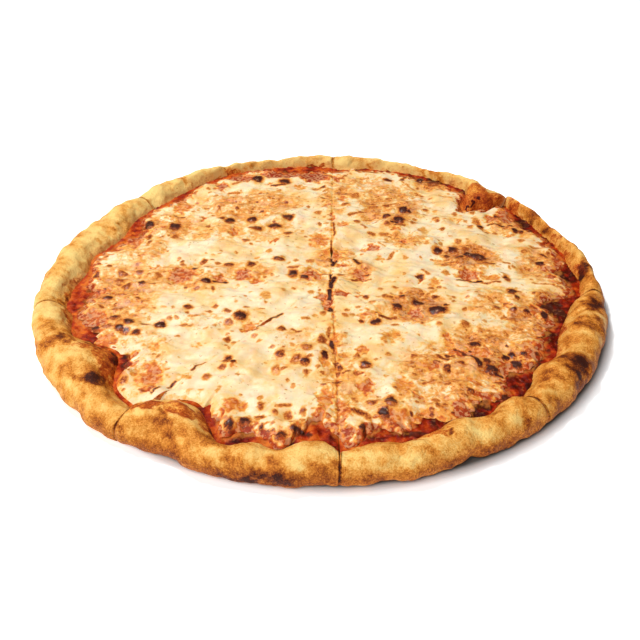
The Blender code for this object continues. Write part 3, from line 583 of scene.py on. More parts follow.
STREAK_HALO_SHARE = 0.35
PATCH_WARP = 2.0
PATCH_EDGE = (1.5, 0.6)
THIN_DEPTH = 0.0010
THIN_GAIN = 1.1
PLAIN_TOAST = 0.20
TOAST_EDGE = (1.25, 0.45)

SCATTER_SEED = 7
SCATTERED_FLECKS = 1700
SCATTER_REACH = 0.158
FLECK_SIZES = (0.9, 2.4)  # mm across
FLECK_WIDE = (0.9, 1.6)
FLECK_DEEP = (0.8, 1.3)
FLECK_DARK = (0.16, 0.80)
FLECKS_KEPT = 0.15  # the share of the flecks that shows where nothing toasted
FLECK_HEAT = (0.45, 1.20)  # how dark a fleck is on untoasted and on toasted cheese, up to 1


def scattered_flecks():
    """Small brown flecks between the blisters that the photograph shows."""
    rng = np.random.RandomState(SCATTER_SEED)
    flecks = []
    for _ in range(SCATTERED_FLECKS):
        heading = rng.uniform(0, 2 * math.pi)
        out = SCATTER_REACH * math.sqrt(rng.uniform(0, 1))
        size = rng.uniform(*FLECK_SIZES)
        wide = size * rng.uniform(*FLECK_WIDE) * MM
        deep = size * rng.uniform(*FLECK_DEEP) * MM
        middle = (out * math.cos(heading), out * math.sin(heading))
        flecks.append((*middle, wide, deep, rng.uniform(*FLECK_DARK), rng.uniform(0, 1)))
    toasted = toast_at(np.array([f[0] for f in flecks]), np.array([f[1] for f in flecks]))
    return [
        (x, y, wide, deep, dark * min(between(FLECK_HEAT, toast), 1.0))
        for (x, y, wide, deep, dark, chance), toast in zip(flecks, toasted)
        if chance < FLECKS_KEPT + toast
    ]


def on_cheese(marks):
    """Marks of the photograph as x, y, wide, deep and strength on the cheese."""
    spots = []
    for across, down, wide, deep, percent in marks:
        spot = under_pixel(across, down)
        spots.append((spot.x, spot.y, wide * MM, deep * MM, percent / 100))
    return spots


def blisters_on_cheese():
    spots = []
    for x, y, wide, deep, dark in on_cheese(BLISTERS):
        far, near = fade(y, *FAR_HALF), fade(y, *NEAR_EDGE)
        wide *= 1.0 + FAR_WIDER * far - NEAR_NARROWER * near
        deep *= 1.0 + FAR_DEEPER * far - NEAR_SHORTER * near
        spots.append((x, y, wide, deep, (1.0 - NEAR_PALER * near) * dark))
    return spots


def toast_at(x, y):
    toast = np.full_like(x, PLAIN_TOAST)
    for middle_x, middle_y, wide, deep, strength in on_cheese(TOASTED):
        off = np.hypot((x - middle_x) / (wide / 2), (y - middle_y) / (deep / 2))
        toast = np.maximum(toast, between((PLAIN_TOAST, strength), fade(off, *TOAST_EDGE)))
    return toast


def soft_mark(off, body, halo, halo_share):
    return halo_share * fade(off, *halo) + (1.0 - halo_share) * fade(off, *body)


class CheeseMarks:
    """What the oven did at every point of an array: how burnt, less so on a blister's side toward the
    camera, where a highlight is painted, how strong the painted highlight on a blister's top is, how thin
    and how toasted the cheese is, and how much it rises."""

    def __init__(self, x, y):
        self.x, self.y = x, y
        self.warp_x, self.warp_y = WARP(x, y), WARP_TOO(x, y)
        self.burn, self.painted_highlight = np.zeros_like(x), np.zeros_like(x)
        self.thin, self.rise = np.zeros_like(x), np.zeros_like(x)
        for spot in [*scattered_flecks(), *blisters_on_cheese()]:
            self.add_blister(*spot)
        for streak in STREAKS:
            self.add_streak(*streak)
        for spot in on_cheese([*THIN_PATCHES, *BARE_PATCHES]):
            self.add_patch(*spot)
        self.toast = toast_at(x, y)
        self.rise -= THIN_DEPTH * ease(self.thin * THIN_GAIN)

    def near(self, x, y, reach_x, reach_y):
        """The numbers of the points that are near a place."""
        return np.nonzero((np.abs(self.x - x) < reach_x) & (np.abs(self.y - y) < reach_y))[0]

    def offset(self, near, x, y, warp):
        """How far those points are from the place, with its outline warped."""
        return (
            self.x[near] + warp * self.warp_x[near] - x,
            self.y[near] + warp * self.warp_y[near] - y,
        )

    def add_blister(self, x, y, wide, deep, dark):
        near = self.near(x, y, wide * BLISTER_REACH + MM, deep * BLISTER_REACH + MM)
        if not len(near):
            return
        dx, dy = self.offset(near, x, y, BLISTER_WARP)
        dx, dy = dx / (wide / 2), dy / (deep / 2)
        off = np.hypot(dx, dy)
        body = soft_mark(off, BLISTER_BODY, BLISTER_HALO, BLISTER_HALO_SHARE)
        # Painted highlight: a pale spot on a larger blister's top toward the camera, and a paler near
        # side.
        highlight_spot = fade(wide, *HIGHLIGHT_SIZES) * fade(np.hypot(dx, dy + HIGHLIGHT_SPOT_OFF), *HIGHLIGHT_SPOT_EDGE)
        burn = dark * body * between((HIGHLIGHTED_NEAR_BURN, 1.0), fade(dy, *HIGHLIGHTED_NEAR_SIDE))
        dome = DOME_SHARE * min(wide, deep) / 2 * np.clip(1.0 - off**2, 0.0, 1.0) ** DOME_POWER
        self.burn[near] = np.maximum(self.burn[near], burn)
        self.painted_highlight[near] = np.maximum(self.painted_highlight[near], highlight_spot * dark)
        self.rise[near] = np.maximum(self.rise[near], dome * dark)

    def add_streak(self, across_0, down_0, across_1, down_1, wide, percent):
        start, end = under_pixel(across_0, down_0), under_pixel(across_1, down_1)
        run, middle = end - start, (start + end) / 2
        reach = run.length / 2 + STREAK_HALO[0] * wide * MM
        near = self.near(middle.x, middle.y, reach, reach)
        dx, dy = self.offset(near, start.x, start.y, STREAK_WARP)
        share = np.clip((dx * run.x + dy * run.y) / run.length**2, 0.0, 1.0)
        off = np.hypot(dx - share * run.x, dy - share * run.y) / (wide * MM / 2)
        body = soft_mark(off, STREAK_BODY, STREAK_HALO, STREAK_HALO_SHARE)
        self.burn[near] = np.maximum(self.burn[near], percent / 100 * body)

    def add_patch(self, x, y, wide, deep, through):
        near = self.near(x, y, wide, deep)
        dx, dy = self.offset(near, x, y, PATCH_WARP)
        body = fade(np.hypot(dx / (wide / 2), dy / (deep / 2)), *PATCH_EDGE)
        self.thin[near] = np.maximum(self.thin[near], through * body)


# ---- Mesh building ----


def make_piece(name, node, points, faces, materials, fields, material_of_face=None):
    """A piece from points and faces, flipped if its volume is negative, in the place of a node."""
    corners = np.array([face[:3] for face in faces])
    a, b, c = (points[corners[:, i]] for i in range(3))
    if np.einsum("ij,ij->", a, np.cross(b, c)) < 0:
        faces = [face[::-1] for face in faces]
    data = bpy.data.meshes.new(name)
    data.from_pydata(points.tolist(), [], faces)
    data.shade_smooth()
    for material in materials:
        data.materials.append(material)
    if material_of_face is not None:
        data.polygons.foreach_set("material_index", material_of_face)
    for field, values in fields.items():
        attribute = data.attributes.new(field, "FLOAT", "POINT")
        attribute.data.foreach_set("value", values.astype(np.float32))
    data.update()
    piece = bpy.data.objects.new(name, data)
    bpy.context.scene.collection.objects.link(piece)
    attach(piece, "root")
    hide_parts(node)


def grid_normals(grid):
    normals = np.cross(np.gradient(grid, axis=0), np.gradient(grid, axis=1))
    return normals / np.maximum(np.linalg.norm(normals, axis=-1, keepdims=True), 1e-12)


def spread_columns(count):
    """Shares from 0 to 1, evenly apart but for the close ones beside each cut."""
    even = np.linspace(0.0, 1.0, count + 1)[1:-1]
    close = np.array(CLOSE_COLUMNS)
    return np.concatenate(([0.0], close, even, 1.0 - close[::-1], [1.0]))


def quads(rows, columns):
    """Faces of a grid of points that is stored row by row."""
    i, j = np.meshgrid(np.arange(rows - 1), np.arange(columns - 1), indexing="ij")
    corner = (i * columns + j).ravel()
    return np.stack((corner, corner + 1, corner + columns + 1, corner + columns), axis=1).tolist()


# ---- The crust ----

RIM_LUMPS = solid_waves(51, ((0.021, 0.00042), (0.0095, 0.00024), (0.0045, 0.00009)))
RIM_TONES = solid_waves(52, ((0.045, 0.09), (0.016, 0.09), (0.006, 0.06)))
RIM_WARP = solid_waves(53, ((0.008, 0.0011), (0.0035, 0.0006)))
WARP_SHIFTS = (0.0, 0.1, 0.2)  # where the same field is read for x, y and z
LUMPS_FROM_CUT = (0.0, 0.002)
LUMPS_AT_CUT = 0.35
LUMPS_FROM_SAUCE = (0.0, 0.004)
MARK_EDGE = (1.5, 0.5)
MARK_MISSED = 6.0  # pixels from the nearest point, past which a mark isn't on this piece

PLAIN_TONE = 0.34
# Painted light and shade on the rim by side: painted shade toward the right and on the near side, painted
# light on the far side.
RIM_PAINTED_SHADE_RIGHT = 0.08
RIM_PAINTED_SHADE_NEAR = 0.08
RIM_PAINTED_LIGHT_FAR = 0.34
PAINTED_LIGHT_OUTSIDE = 0.25  # the share of that painted light on the rim's outer side
# Browner cut edges on the rim, partly painted shade in the groove along each cut.
CUT_EDGE_BROWN_AND_SHADE = 0.50
CUT_EDGE_BROWN_AND_SHADE_WIDTH = 0.0006
OUTSIDE = (0.40, 0.15)  # the rim's outer side, by the inset over the width
UNDERCUT_HEIGHT = 0.004
FOOT_SHADE_AND_BROWN_TONE = 0.74  # how dark the rim's outer side is near the table: painted shade on the side toward the camera, browning on the back
FOOT_SHADE_AND_BROWN_SHARE = 0.85
FOOT_SHADE_AND_BROWN_HEIGHTS = (0.0140, 0.0070)
PAINTED_SHADE_LEAN = 0.5  # painted shade on the foot on the side toward the camera, and this much to the right
PAINTED_SHADE_SIDE = (-0.1, 0.7)
BACK_FOOT_BROWN = 0.75  # the foot of the unseen back is browned, this much of the painted shade on the near side's foot
BACK_SIDE = (0.05, 0.45)
INNER_STAIN = (0.72, 0.42)  # how much the sauce stained the rim's foot, near and far
STAIN_FAR = (0.1, 0.7)
STAIN_LEAN = 0.4
STAIN_UP_SLOPE = (0.0040, 0.0005)  # how far from the sauce, outward up the rim
STAIN_RAGGED = 0.012


def rim_section(width, height):
    """Inset and height round the rim for every column, from the base's top to the table."""
    crest, widest = CREST_SHARE * width, WIDEST_SHARE * height
    inner, outer, under = RIM_STEPS
    rise = np.linspace(0.0, 1.0, inner, endpoint=False)
    roll = np.linspace(0.0, math.pi / 2, outer, endpoint=False)
    tuck = np.linspace(0.0, math.pi / 2, under + 1)
    insets = [
        between((width, crest), rise),
        crest * (1 - np.sin(roll)),
        FOOT_INSET * (1 - np.cos(tuck)) + 0 * width,
    ]
    heights = [
        between((BASE_THICKNESS, height), rise * (2 - rise)),
        between((widest, height), np.cos(roll)),
        widest * (1 - np.sin(tuck)),
    ]
    return np.concatenate(insets, axis=1), np.concatenate(heights, axis=1)


def plain_crust(slice_index):
    """A slice's crust as columns of points. Each is a loop: out along the base's top, over the rim to
    the table, and back under the base to the tip."""
    across = spread_columns(CRUST_COLUMNS)[:, None]
    angle = straight_angle(slice_index, across)
    edge = edge_reach(slice_index, angle)
    width = rim_width(slice_index, angle)
    rim_inset, rim_z = rim_section(width, rim_height(slice_index, angle))
    rim_reach = edge - rim_inset
    out = np.linspace(0.0, 1.0, BASE_STEPS, endpoint=False)
    back = np.linspace(1.0, 0.0, FLOOR_STEPS + 1)[1:]
    top_reach = between((TIP_REACH, rim_reach[:, :1]), out)
    low_reach = between((TIP_REACH, rim_reach[:, -1:]), back)
    reach = np.concatenate((top_reach, rim_reach, low_reach), axis=1)
    z = np.concatenate((0 * top_reach + BASE_THICKNESS, rim_z, 0 * low_reach), axis=1)
    x, y, to_side = place(slice_index, across, reach, fade(z, *OPEN_HEIGHTS))
    on_rim = np.zeros_like(z)
    on_rim[:, BASE_STEPS:-FLOOR_STEPS] = 1.0
    return SimpleNamespace(
        points=np.stack((x, y, z), axis=-1),
        to_side=to_side,
        inset=edge - reach,
        width=width,
        on_rim=on_rim,
    )


def outward_normals(points):
    """The crust's normals, which look up at the rim's crest."""
    normals = grid_normals(points)
    return normals * np.sign(normals[0, BASE_STEPS + RIM_STEPS[0], 2])


def add_lumps(crust):
    held = fade(crust.width - crust.inset, *LUMPS_FROM_SAUCE)
    held = held * between((LUMPS_AT_CUT, 1.0), fade(crust.to_side, *LUMPS_FROM_CUT))
    push = RIM_LUMPS(crust.points) * held - RIM_CREASE * np.exp(-crust.to_side / CREASE_WIDTH)
    crust.points += outward_normals(crust.points) * (push * crust.on_rim)[..., None]
    crust.points[..., 2] = np.maximum(crust.points[..., 2], 0.0)


def marks_on_rim(points, normals, marks):
    """How strongly each point takes the marks, which are placed by the photograph's pixels."""
    across, down, deep = pixels_of(points)
    facing = np.einsum("ij,ij->i", normals, np.array(camera_ways()[0]) - points) > 0
    hidden = np.where(facing, 0.0, np.inf)
    warped = points + np.stack([RIM_WARP(points + shift) for shift in WARP_SHIFTS], axis=-1)
    total = np.zeros(len(points))
    for mark_across, mark_down, wide, long, percent in marks:
        miss = np.hypot(across - mark_across, down - mark_down) + hidden
        if miss.min() > MARK_MISSED:
            continue
        close = miss < miss.min() + 1.0
        seat = points[close][np.argmin(deep[close])]
        dx, dy, dz = (warped - seat).T
        off = np.hypot(dx / (wide * MM / 2), np.hypot(dy, dz) / (long * MM / 2))
        total = np.maximum(total, percent / 100 * fade(off, *MARK_EDGE))
    return total


def mark_crusts(crusts):
    """Adds to each crust how much browner and how stained the photograph's marks make its points."""
    points = np.concatenate([crust.points.reshape(-1, 3) for crust in crusts])
    normals = np.concatenate([outward_normals(crust.points).reshape(-1, 3) for crust in crusts])
    on_rim = np.concatenate([crust.on_rim.ravel() for crust in crusts]) > 0.5
    rim = points[on_rim], normals[on_rim]
    browner, stained = np.zeros(len(points)), np.zeros(len(points))
    browner[on_rim] = marks_on_rim(*rim, RIM_MARKS) - marks_on_rim(*rim, RIM_PALE)
    stained[on_rim] = marks_on_rim(*rim, RIM_STAINS)
    shape = (len(crusts), *crusts[0].inset.shape)
    for crust, more_brown, stain in zip(crusts, browner.reshape(shape), stained.reshape(shape)):
        crust.browner, crust.stained = more_brown, stain


def crust_tone_and_stain(crust):
    """How brown and how stained by the sauce each point of a crust is, with painted shade toward the
    right, on the near side and on the foot toward the camera, and painted light on the far side.
    """
    x, y, z = np.moveaxis(crust.points, -1, 0)
    sideways, away = x / CRUST_RADIUS, y / CRUST_RADIUS
    outside = np.maximum(fade(crust.inset / crust.width, *OUTSIDE), z < UNDERCUT_HEIGHT)
    tones = RIM_TONES(crust.points)
    # The tone with its marks, then painted shade toward the right and on the near side, and painted light
    # on the far side.
    tone = PLAIN_TONE + tones + crust.browner + RIM_PAINTED_SHADE_RIGHT * sideways
    tone = tone - RIM_PAINTED_LIGHT_FAR * np.maximum(away, 0.0) * between((1.0, PAINTED_LIGHT_OUTSIDE), outside)
    tone = tone - RIM_PAINTED_SHADE_NEAR * np.minimum(away, 0.0)
    # Browning and painted shade in the groove along each cut.
    tone = tone + CUT_EDGE_BROWN_AND_SHADE * np.exp(-((crust.to_side / CUT_EDGE_BROWN_AND_SHADE_WIDTH) ** 2)) * crust.on_rim
    # Painted shade on the foot toward the camera and the right; the unseen back's foot is browned
    # instead.
    browned = fade(PAINTED_SHADE_LEAN * sideways - away, *PAINTED_SHADE_SIDE)
    browned = np.maximum(browned, BACK_FOOT_BROWN * fade(away, *BACK_SIDE))
    foot_shade_and_brown = FOOT_SHADE_AND_BROWN_SHARE * browned * outside * fade(z, *FOOT_SHADE_AND_BROWN_HEIGHTS)
    tone = tone + foot_shade_and_brown * (np.maximum(tone, FOOT_SHADE_AND_BROWN_TONE) - tone)
    up_slope = np.maximum(crust.width - crust.inset, 0.0) + STAIN_RAGGED * tones
    stain = between(INNER_STAIN, fade(away - STAIN_LEAN * sideways, *STAIN_FAR))
    stain = stain * fade(up_slope, *STAIN_UP_SLOPE) * crust.on_rim * (1.0 - outside)
    return tone, np.maximum(stain, crust.stained)


def crust_faces(columns, steps):
    """The faces round the columns, with the loops closed, then the two cut sides. The sides have
    points of their own, after the others, so that their edges stay sharp."""
    faces = quads(columns, steps)
    last = steps - 1
    for i in range(columns - 1):
        start, end = i * steps, (i + 1) * steps
        faces.append([end + last, end, start, start + last])
    first_side = columns * steps + np.arange(steps)
    return faces + [first_side.tolist(), (first_side + steps)[::-1].tolist()]


def build_crusts(materials):
    crusts = [plain_crust(k) for k in range(SLICES)]
    for crust in crusts:
        add_lumps(crust)
    mark_crusts(crusts)
    for k, crust in enumerate(crusts, start=1):
        tone, stain = crust_tone_and_stain(crust)
        columns, steps = tone.shape
        faces = crust_faces(columns, steps)
        points = np.concatenate((crust.points.reshape(-1, 3), crust.points[0], crust.points[-1]))
        fields = {
            "tone": np.concatenate((tone.ravel(), np.zeros(2 * steps))),
            "stain": np.concatenate((stain.ravel(), stain[0], stain[-1])),
        }
        crumb_on_sides = [0] * (len(faces) - 2) + [1, 1]
        make_piece(
            f"baked_crust_{k}", f"crust_{k}", points, faces, materials, fields, crumb_on_sides
        )


# ---- The sauce ----

SAUCE_LUMPS = waves(61, ((0.0075, 0.00026), (0.0032, 0.00016)))
SAUCE_TONES = waves(62, ((0.020, 0.16), (0.006, 0.12)))
SAUCE_UNDER_RIM = 0.0012  # how far the sauce runs into the foot of the rim
SAUCE_SUNK = 0.0002  # how much lower it lies than the solid's top
SAUCE_LUMPS_UP = 0.0003
SAUCE_LUMPS_FROM = (-0.005, -0.002)  # past the cheese's edge, where the sauce's lumps start
LEAST_SAUCE = 0.0004
PLAIN_SAUCE_TONE = 0.53
# Painted shade: the sauce darker toward the right.
SAUCE_PAINTED_SHADE_RIGHT = 0.16
SAUCE_TOASTED = 0.45
SAUCE_TOAST_MIDDLE = 0.4
OILY_SAUCE = (0.006, 0.0)  # past the cheese's edge


def close_layer(tops, rows, bottom, faces, fields, least_on_walls):
    """Adds walls down to a flat underside, with points of their own, to a layer's top. rows holds,
    ring by ring, the numbers of the top's points. Returns the points, and adds to faces and fields."""
    border = [row[0] for row in rows] + list(rows[-1][1:]) + [row[-1] for row in rows[-2::-1]]
    border += list(rows[0][-2:0:-1])
    high, low = tops[border], tops[border].copy()
    low[:, 2] = bottom
    count = len(border)
    first_high, first_low = len(tops), len(tops) + count
    for i in range(count):
        j = (i + 1) % count
        faces.append([first_high + j, first_high + i, first_low + i, first_low + j])
    faces.append(list(range(first_low, first_low + count)))
    for key, values in fields.items():
        on_walls = np.maximum(values[border], least_on_walls.get(key, -1.0))
        fields[key] = np.concatenate((values, on_walls, on_walls))
    return np.concatenate((tops, high, low))


def build_sauce(slice_index, material):
    across = spread_columns(SAUCE_COLUMNS)[:, None]
    angle = straight_angle(slice_index, across)
    outer = sauce_reach(slice_index, angle) + SAUCE_UNDER_RIM
    shown = cheese_reach(slice_index, angle) - SAUCE_SHOWN
    inner_part = np.linspace(0.0, 1.0, SAUCE_INNER_RINGS, endpoint=False)
    outer_part = np.linspace(0.0, 1.0, SAUCE_RINGS)
    reach = [between((TIP_REACH, shown), inner_part), between((shown, outer), outer_part)]
    reach = np.concatenate(reach, axis=1).T
    x, y, to_side = place(slice_index, across.T, reach)
    past_cheese = reach - cheese_reach(slice_index, angle).T
    bottom = BASE_THICKNESS + LAYER_GAP
    lumps = fade(past_cheese, *SAUCE_LUMPS_FROM) * (SAUCE_LUMPS(x, y) + SAUCE_LUMPS_UP)
    z = bottom + SAUCE_THICKNESS - SAUCE_SUNK + lumps - crease(slice_index, across.T, to_side)
    z = np.maximum(z, bottom + LEAST_SAUCE)
    marks = CheeseMarks(x.ravel(), y.ravel())
    # The sauce's tone, with painted shade toward the right.
    tone = PLAIN_SAUCE_TONE + (SAUCE_TONES(x, y) + SAUCE_PAINTED_SHADE_RIGHT * x / CRUST_RADIUS).ravel()
    tone = tone + SAUCE_TOASTED * (marks.toast - SAUCE_TOAST_MIDDLE)
    fields = {"tone": tone, "burn": marks.burn, "oily": fade(past_cheese, *OILY_SAUCE).ravel()}
    tops = np.stack((x, y, z), axis=-1).reshape(-1, 3)
    rows = np.arange(x.size).reshape(x.shape).tolist()
    faces = quads(*x.shape)
    points = close_layer(tops, rows, bottom, faces, fields, {})
    number = slice_index + 1
    make_piece(f"tomato_sauce_{number}", f"sauce_{number}", points, faces, [material], fields)


# ---- The cheese ----

SAUCE_BESIDE_CHEESE = 0.0008  # the least sauce between the frayed cheese and the rim
CHEESE_EDGE_THICKNESS = 0.0001
CHEESE_EDGE_ROLL = 0.0100
CHEESE_ROLL_POWER = 0.8
EDGE_THIN_WIDTH = 0.0090  # how far in from its edge the sauce tints the cheese
EDGE_THIN = 0.95
EDGE_THIN_RAGGED = 5.0
RUN_KEPT_THICK = 0.005  # a run this long is tinted only by the share below
RUN_THIN_SHARE = 0.25
WALL_THIN = 0.62
CUT_OIL = (0.20, 0.12, 0.28, 0.12, 0.20, 0.14, 0.45, 0.15)  # how orange the oil left each cut
CUT_OIL_WIDTH = 0.0016
OIL_BLOTCH = 0.0006
OIL_LEAST, OIL_MOST = 0.2, 1.5


def faces_between(inner, outer):
    """Faces between two rings, of which the outer may have twice the columns."""
    if len(inner) == len(outer):
        return [[inner[i], inner[i + 1], outer[i + 1], outer[i]] for i in range(len(outer) - 1)]
    return [
        [inner[i], inner[i + 1], outer[2 * i + 2], outer[2 * i + 1], outer[2 * i]]
        for i in range(len(inner) - 1)
    ]


def cheese_rings(slice_index):
    """Rings of points from the tip to the frayed edge, with twice the columns past each doubling:
    x, y, the distances in from the edge and to the nearer cut, the place across and the run past the
    solid's edge for each point, the numbers of each ring's points, and the faces between the rings."""
    angles = straight_angle(slice_index, np.linspace(0.0, 1.0, CHEESE_EDGE_SAMPLES))
    longest = float(cheese_reach(slice_index, angles).max())
    columns = spread_columns(CHEESE_COLUMNS)
    doublings = list(CHEESE_DOUBLINGS)
    rows, faces, places, first = [], [], [], 0
    for share in np.linspace(0.0, 1.0, int(longest / CHEESE_RING_STEP) + 1):
        if doublings and share * longest > doublings[0]:
            doublings.pop(0)
            columns = np.sort(np.concatenate((columns, (columns[1:] + columns[:-1]) / 2)))
        angle = straight_angle(slice_index, columns)
        outer = cheese_reach(slice_index, angle)
        edge_x, edge_y, _ = place(slice_index, columns, outer)
        most = sauce_reach(slice_index, angle) - SAUCE_BESIDE_CHEESE
        run = added_at(angle, CHEESE_RUNS)
        outer = np.minimum(outer + run + EDGE_FRAY(edge_x, edge_y), most)
        reach = between((TIP_REACH, outer), share)
        x, y, to_side = place(slice_index, columns, reach)
        places.append(np.stack((x, y, outer - reach, to_side, columns, run), axis=1))
        row = list(range(first, first + len(columns)))
        first += len(columns)
        if rows:
            faces += faces_between(rows[-1], row)
        rows.append(row)
    return np.concatenate(places).T, rows, faces


def cheese_thinness(slice_index, marks, inset, to_side, across, run):
    """How far the sauce shows through: in the thin patches, at the edge and, as oil, at the cuts."""
    edge = EDGE_THIN * fade(inset + EDGE_THIN_RAGGED * marks.warp_x, EDGE_THIN_WIDTH, 0.0)
    edge = edge * between((1.0, RUN_THIN_SHARE), fade(run, 0.0, RUN_KEPT_THICK))
    blotches = 1.0 + CHEESE_LUMPS(2 * marks.x, 2 * marks.y) / OIL_BLOTCH
    oil = of_nearer_cut(CUT_OIL, slice_index, across) * np.exp(-((to_side / CUT_OIL_WIDTH) ** 2))
    oil = oil * np.clip(blotches, OIL_LEAST, OIL_MOST)
    return np.maximum(np.maximum(marks.thin, edge), oil)


def build_cheese(slice_index, material):
    (x, y, inset, to_side, across, run), rows, faces = cheese_rings(slice_index)
    bottom = BASE_THICKNESS + SAUCE_THICKNESS + 2 * LAYER_GAP
    marks = CheeseMarks(x, y)
    swell = waves(SWELL_SEED, CHEESE_SWELLS)
    full = CHEESE_THICKNESS + swell(x, y) + CHEESE_LUMPS(x, y) + marks.rise
    share = np.clip(inset / CHEESE_EDGE_ROLL, 0.0, 1.0)
    rolled = between((CHEESE_EDGE_THICKNESS, full), (share * (2 - share)) ** CHEESE_ROLL_POWER)
    rolled = rolled - crease(slice_index, across, to_side)
    tops = np.stack((x, y, bottom + np.maximum(rolled, CHEESE_EDGE_THICKNESS / 2)), axis=1)
    thin = cheese_thinness(slice_index, marks, inset, to_side, across, run)
    fields = {"burn": marks.burn, "painted_highlight": marks.painted_highlight, "thin": thin, "toast": marks.toast}
    points = close_layer(tops, rows, bottom - LAYER_GAP, faces, fields, {"thin": WALL_THIN})
    number = slice_index + 1
    make_piece(f"melted_cheese_{number}", f"cheese_{number}", points, faces, [material], fields)


# ---- Materials ----

# Colours along a value: where, then red, green and blue.
DOUGH = (
    (0.0, 0.98, 0.67, 0.225), (0.18, 0.94, 0.55, 0.155), (0.34, 0.86, 0.41, 0.085),
    (0.50, 0.72, 0.26, 0.034), (0.65, 0.50, 0.140, 0.014), (0.80, 0.27, 0.058, 0.007),
    (0.92, 0.130, 0.024, 0.005), (1.0, 0.055, 0.012, 0.006),
)
SOAKED_DOUGH = (
    (0.0, 0.93, 0.50, 0.100), (0.14, 0.86, 0.34, 0.055), (0.28, 0.68, 0.18, 0.021),
    (0.45, 0.50, 0.085, 0.009), (0.70, 0.25, 0.024, 0.004), (1.0, 0.06, 0.007, 0.003),
)
CRUMB = (
    (0.30, 0.52, 0.24, 0.06), (0.44, 0.86, 0.54, 0.21), (0.58, 0.96, 0.74, 0.38),
    (0.75, 0.98, 0.84, 0.54),
)
SOAKED_CRUMB = ((0.35, 0.40, 0.060, 0.008), (0.65, 0.78, 0.28, 0.05))
TOMATO = (
    (0.0, 0.66, 0.14, 0.014), (0.28, 0.48, 0.052, 0.004), (0.52, 0.31, 0.018, 0.002),
    (0.78, 0.14, 0.006, 0.001), (1.0, 0.045, 0.003, 0.001),
)
CREAM = (
    (0.30, 0.96, 0.78, 0.52), (0.46, 0.95, 0.73, 0.44), (0.58, 0.93, 0.64, 0.30),
    (0.75, 0.90, 0.56, 0.20),
)
BROWNED_CHEESE = (
    (0.26, 0.94, 0.60, 0.21), (0.46, 0.91, 0.48, 0.125), (0.66, 0.83, 0.34, 0.070),
    (0.84, 0.66, 0.20, 0.034), (1.0, 0.40, 0.085, 0.014),
)
SAUCE_THROUGH = (
    (0.20, 0.92, 0.54, 0.14), (0.40, 0.85, 0.36, 0.06), (0.58, 0.70, 0.18, 0.026),
    (0.78, 0.52, 0.085, 0.013), (1.0, 0.33, 0.034, 0.007),
)
CHAR = (
    (0.06, 0.92, 0.56, 0.16), (0.22, 0.84, 0.38, 0.080), (0.40, 0.62, 0.190, 0.036),
    (0.58, 0.36, 0.070, 0.014), (0.76, 0.165, 0.034, 0.014), (0.95, 0.065, 0.019, 0.013),
)
CURD = (0.80, 0.28, 0.045)
BURNT_SAUCE = (0.07, 0.014, 0.006)
# Painted glint colour for the sauce.
SAUCE_PAINTED_GLINT = (0.84, 0.32, 0.11)
BLUSH = (0.90, 0.52, 0.28)
BROWN_FLECK = (0.60, 0.25, 0.06)
# Painted highlight colour for blister tops.
BLISTER_PAINTED_HIGHLIGHT = (0.72, 0.36, 0.20)
# Pale flecks, partly grated bits and partly painted glints.
PALE_FLECK_AND_GLINT = (0.93, 0.57, 0.27)

FLECK_NOISE = (0.70, 0.40)  # where the noise has to be above for no flecks and for the most
FLECK_EDGE = 0.07


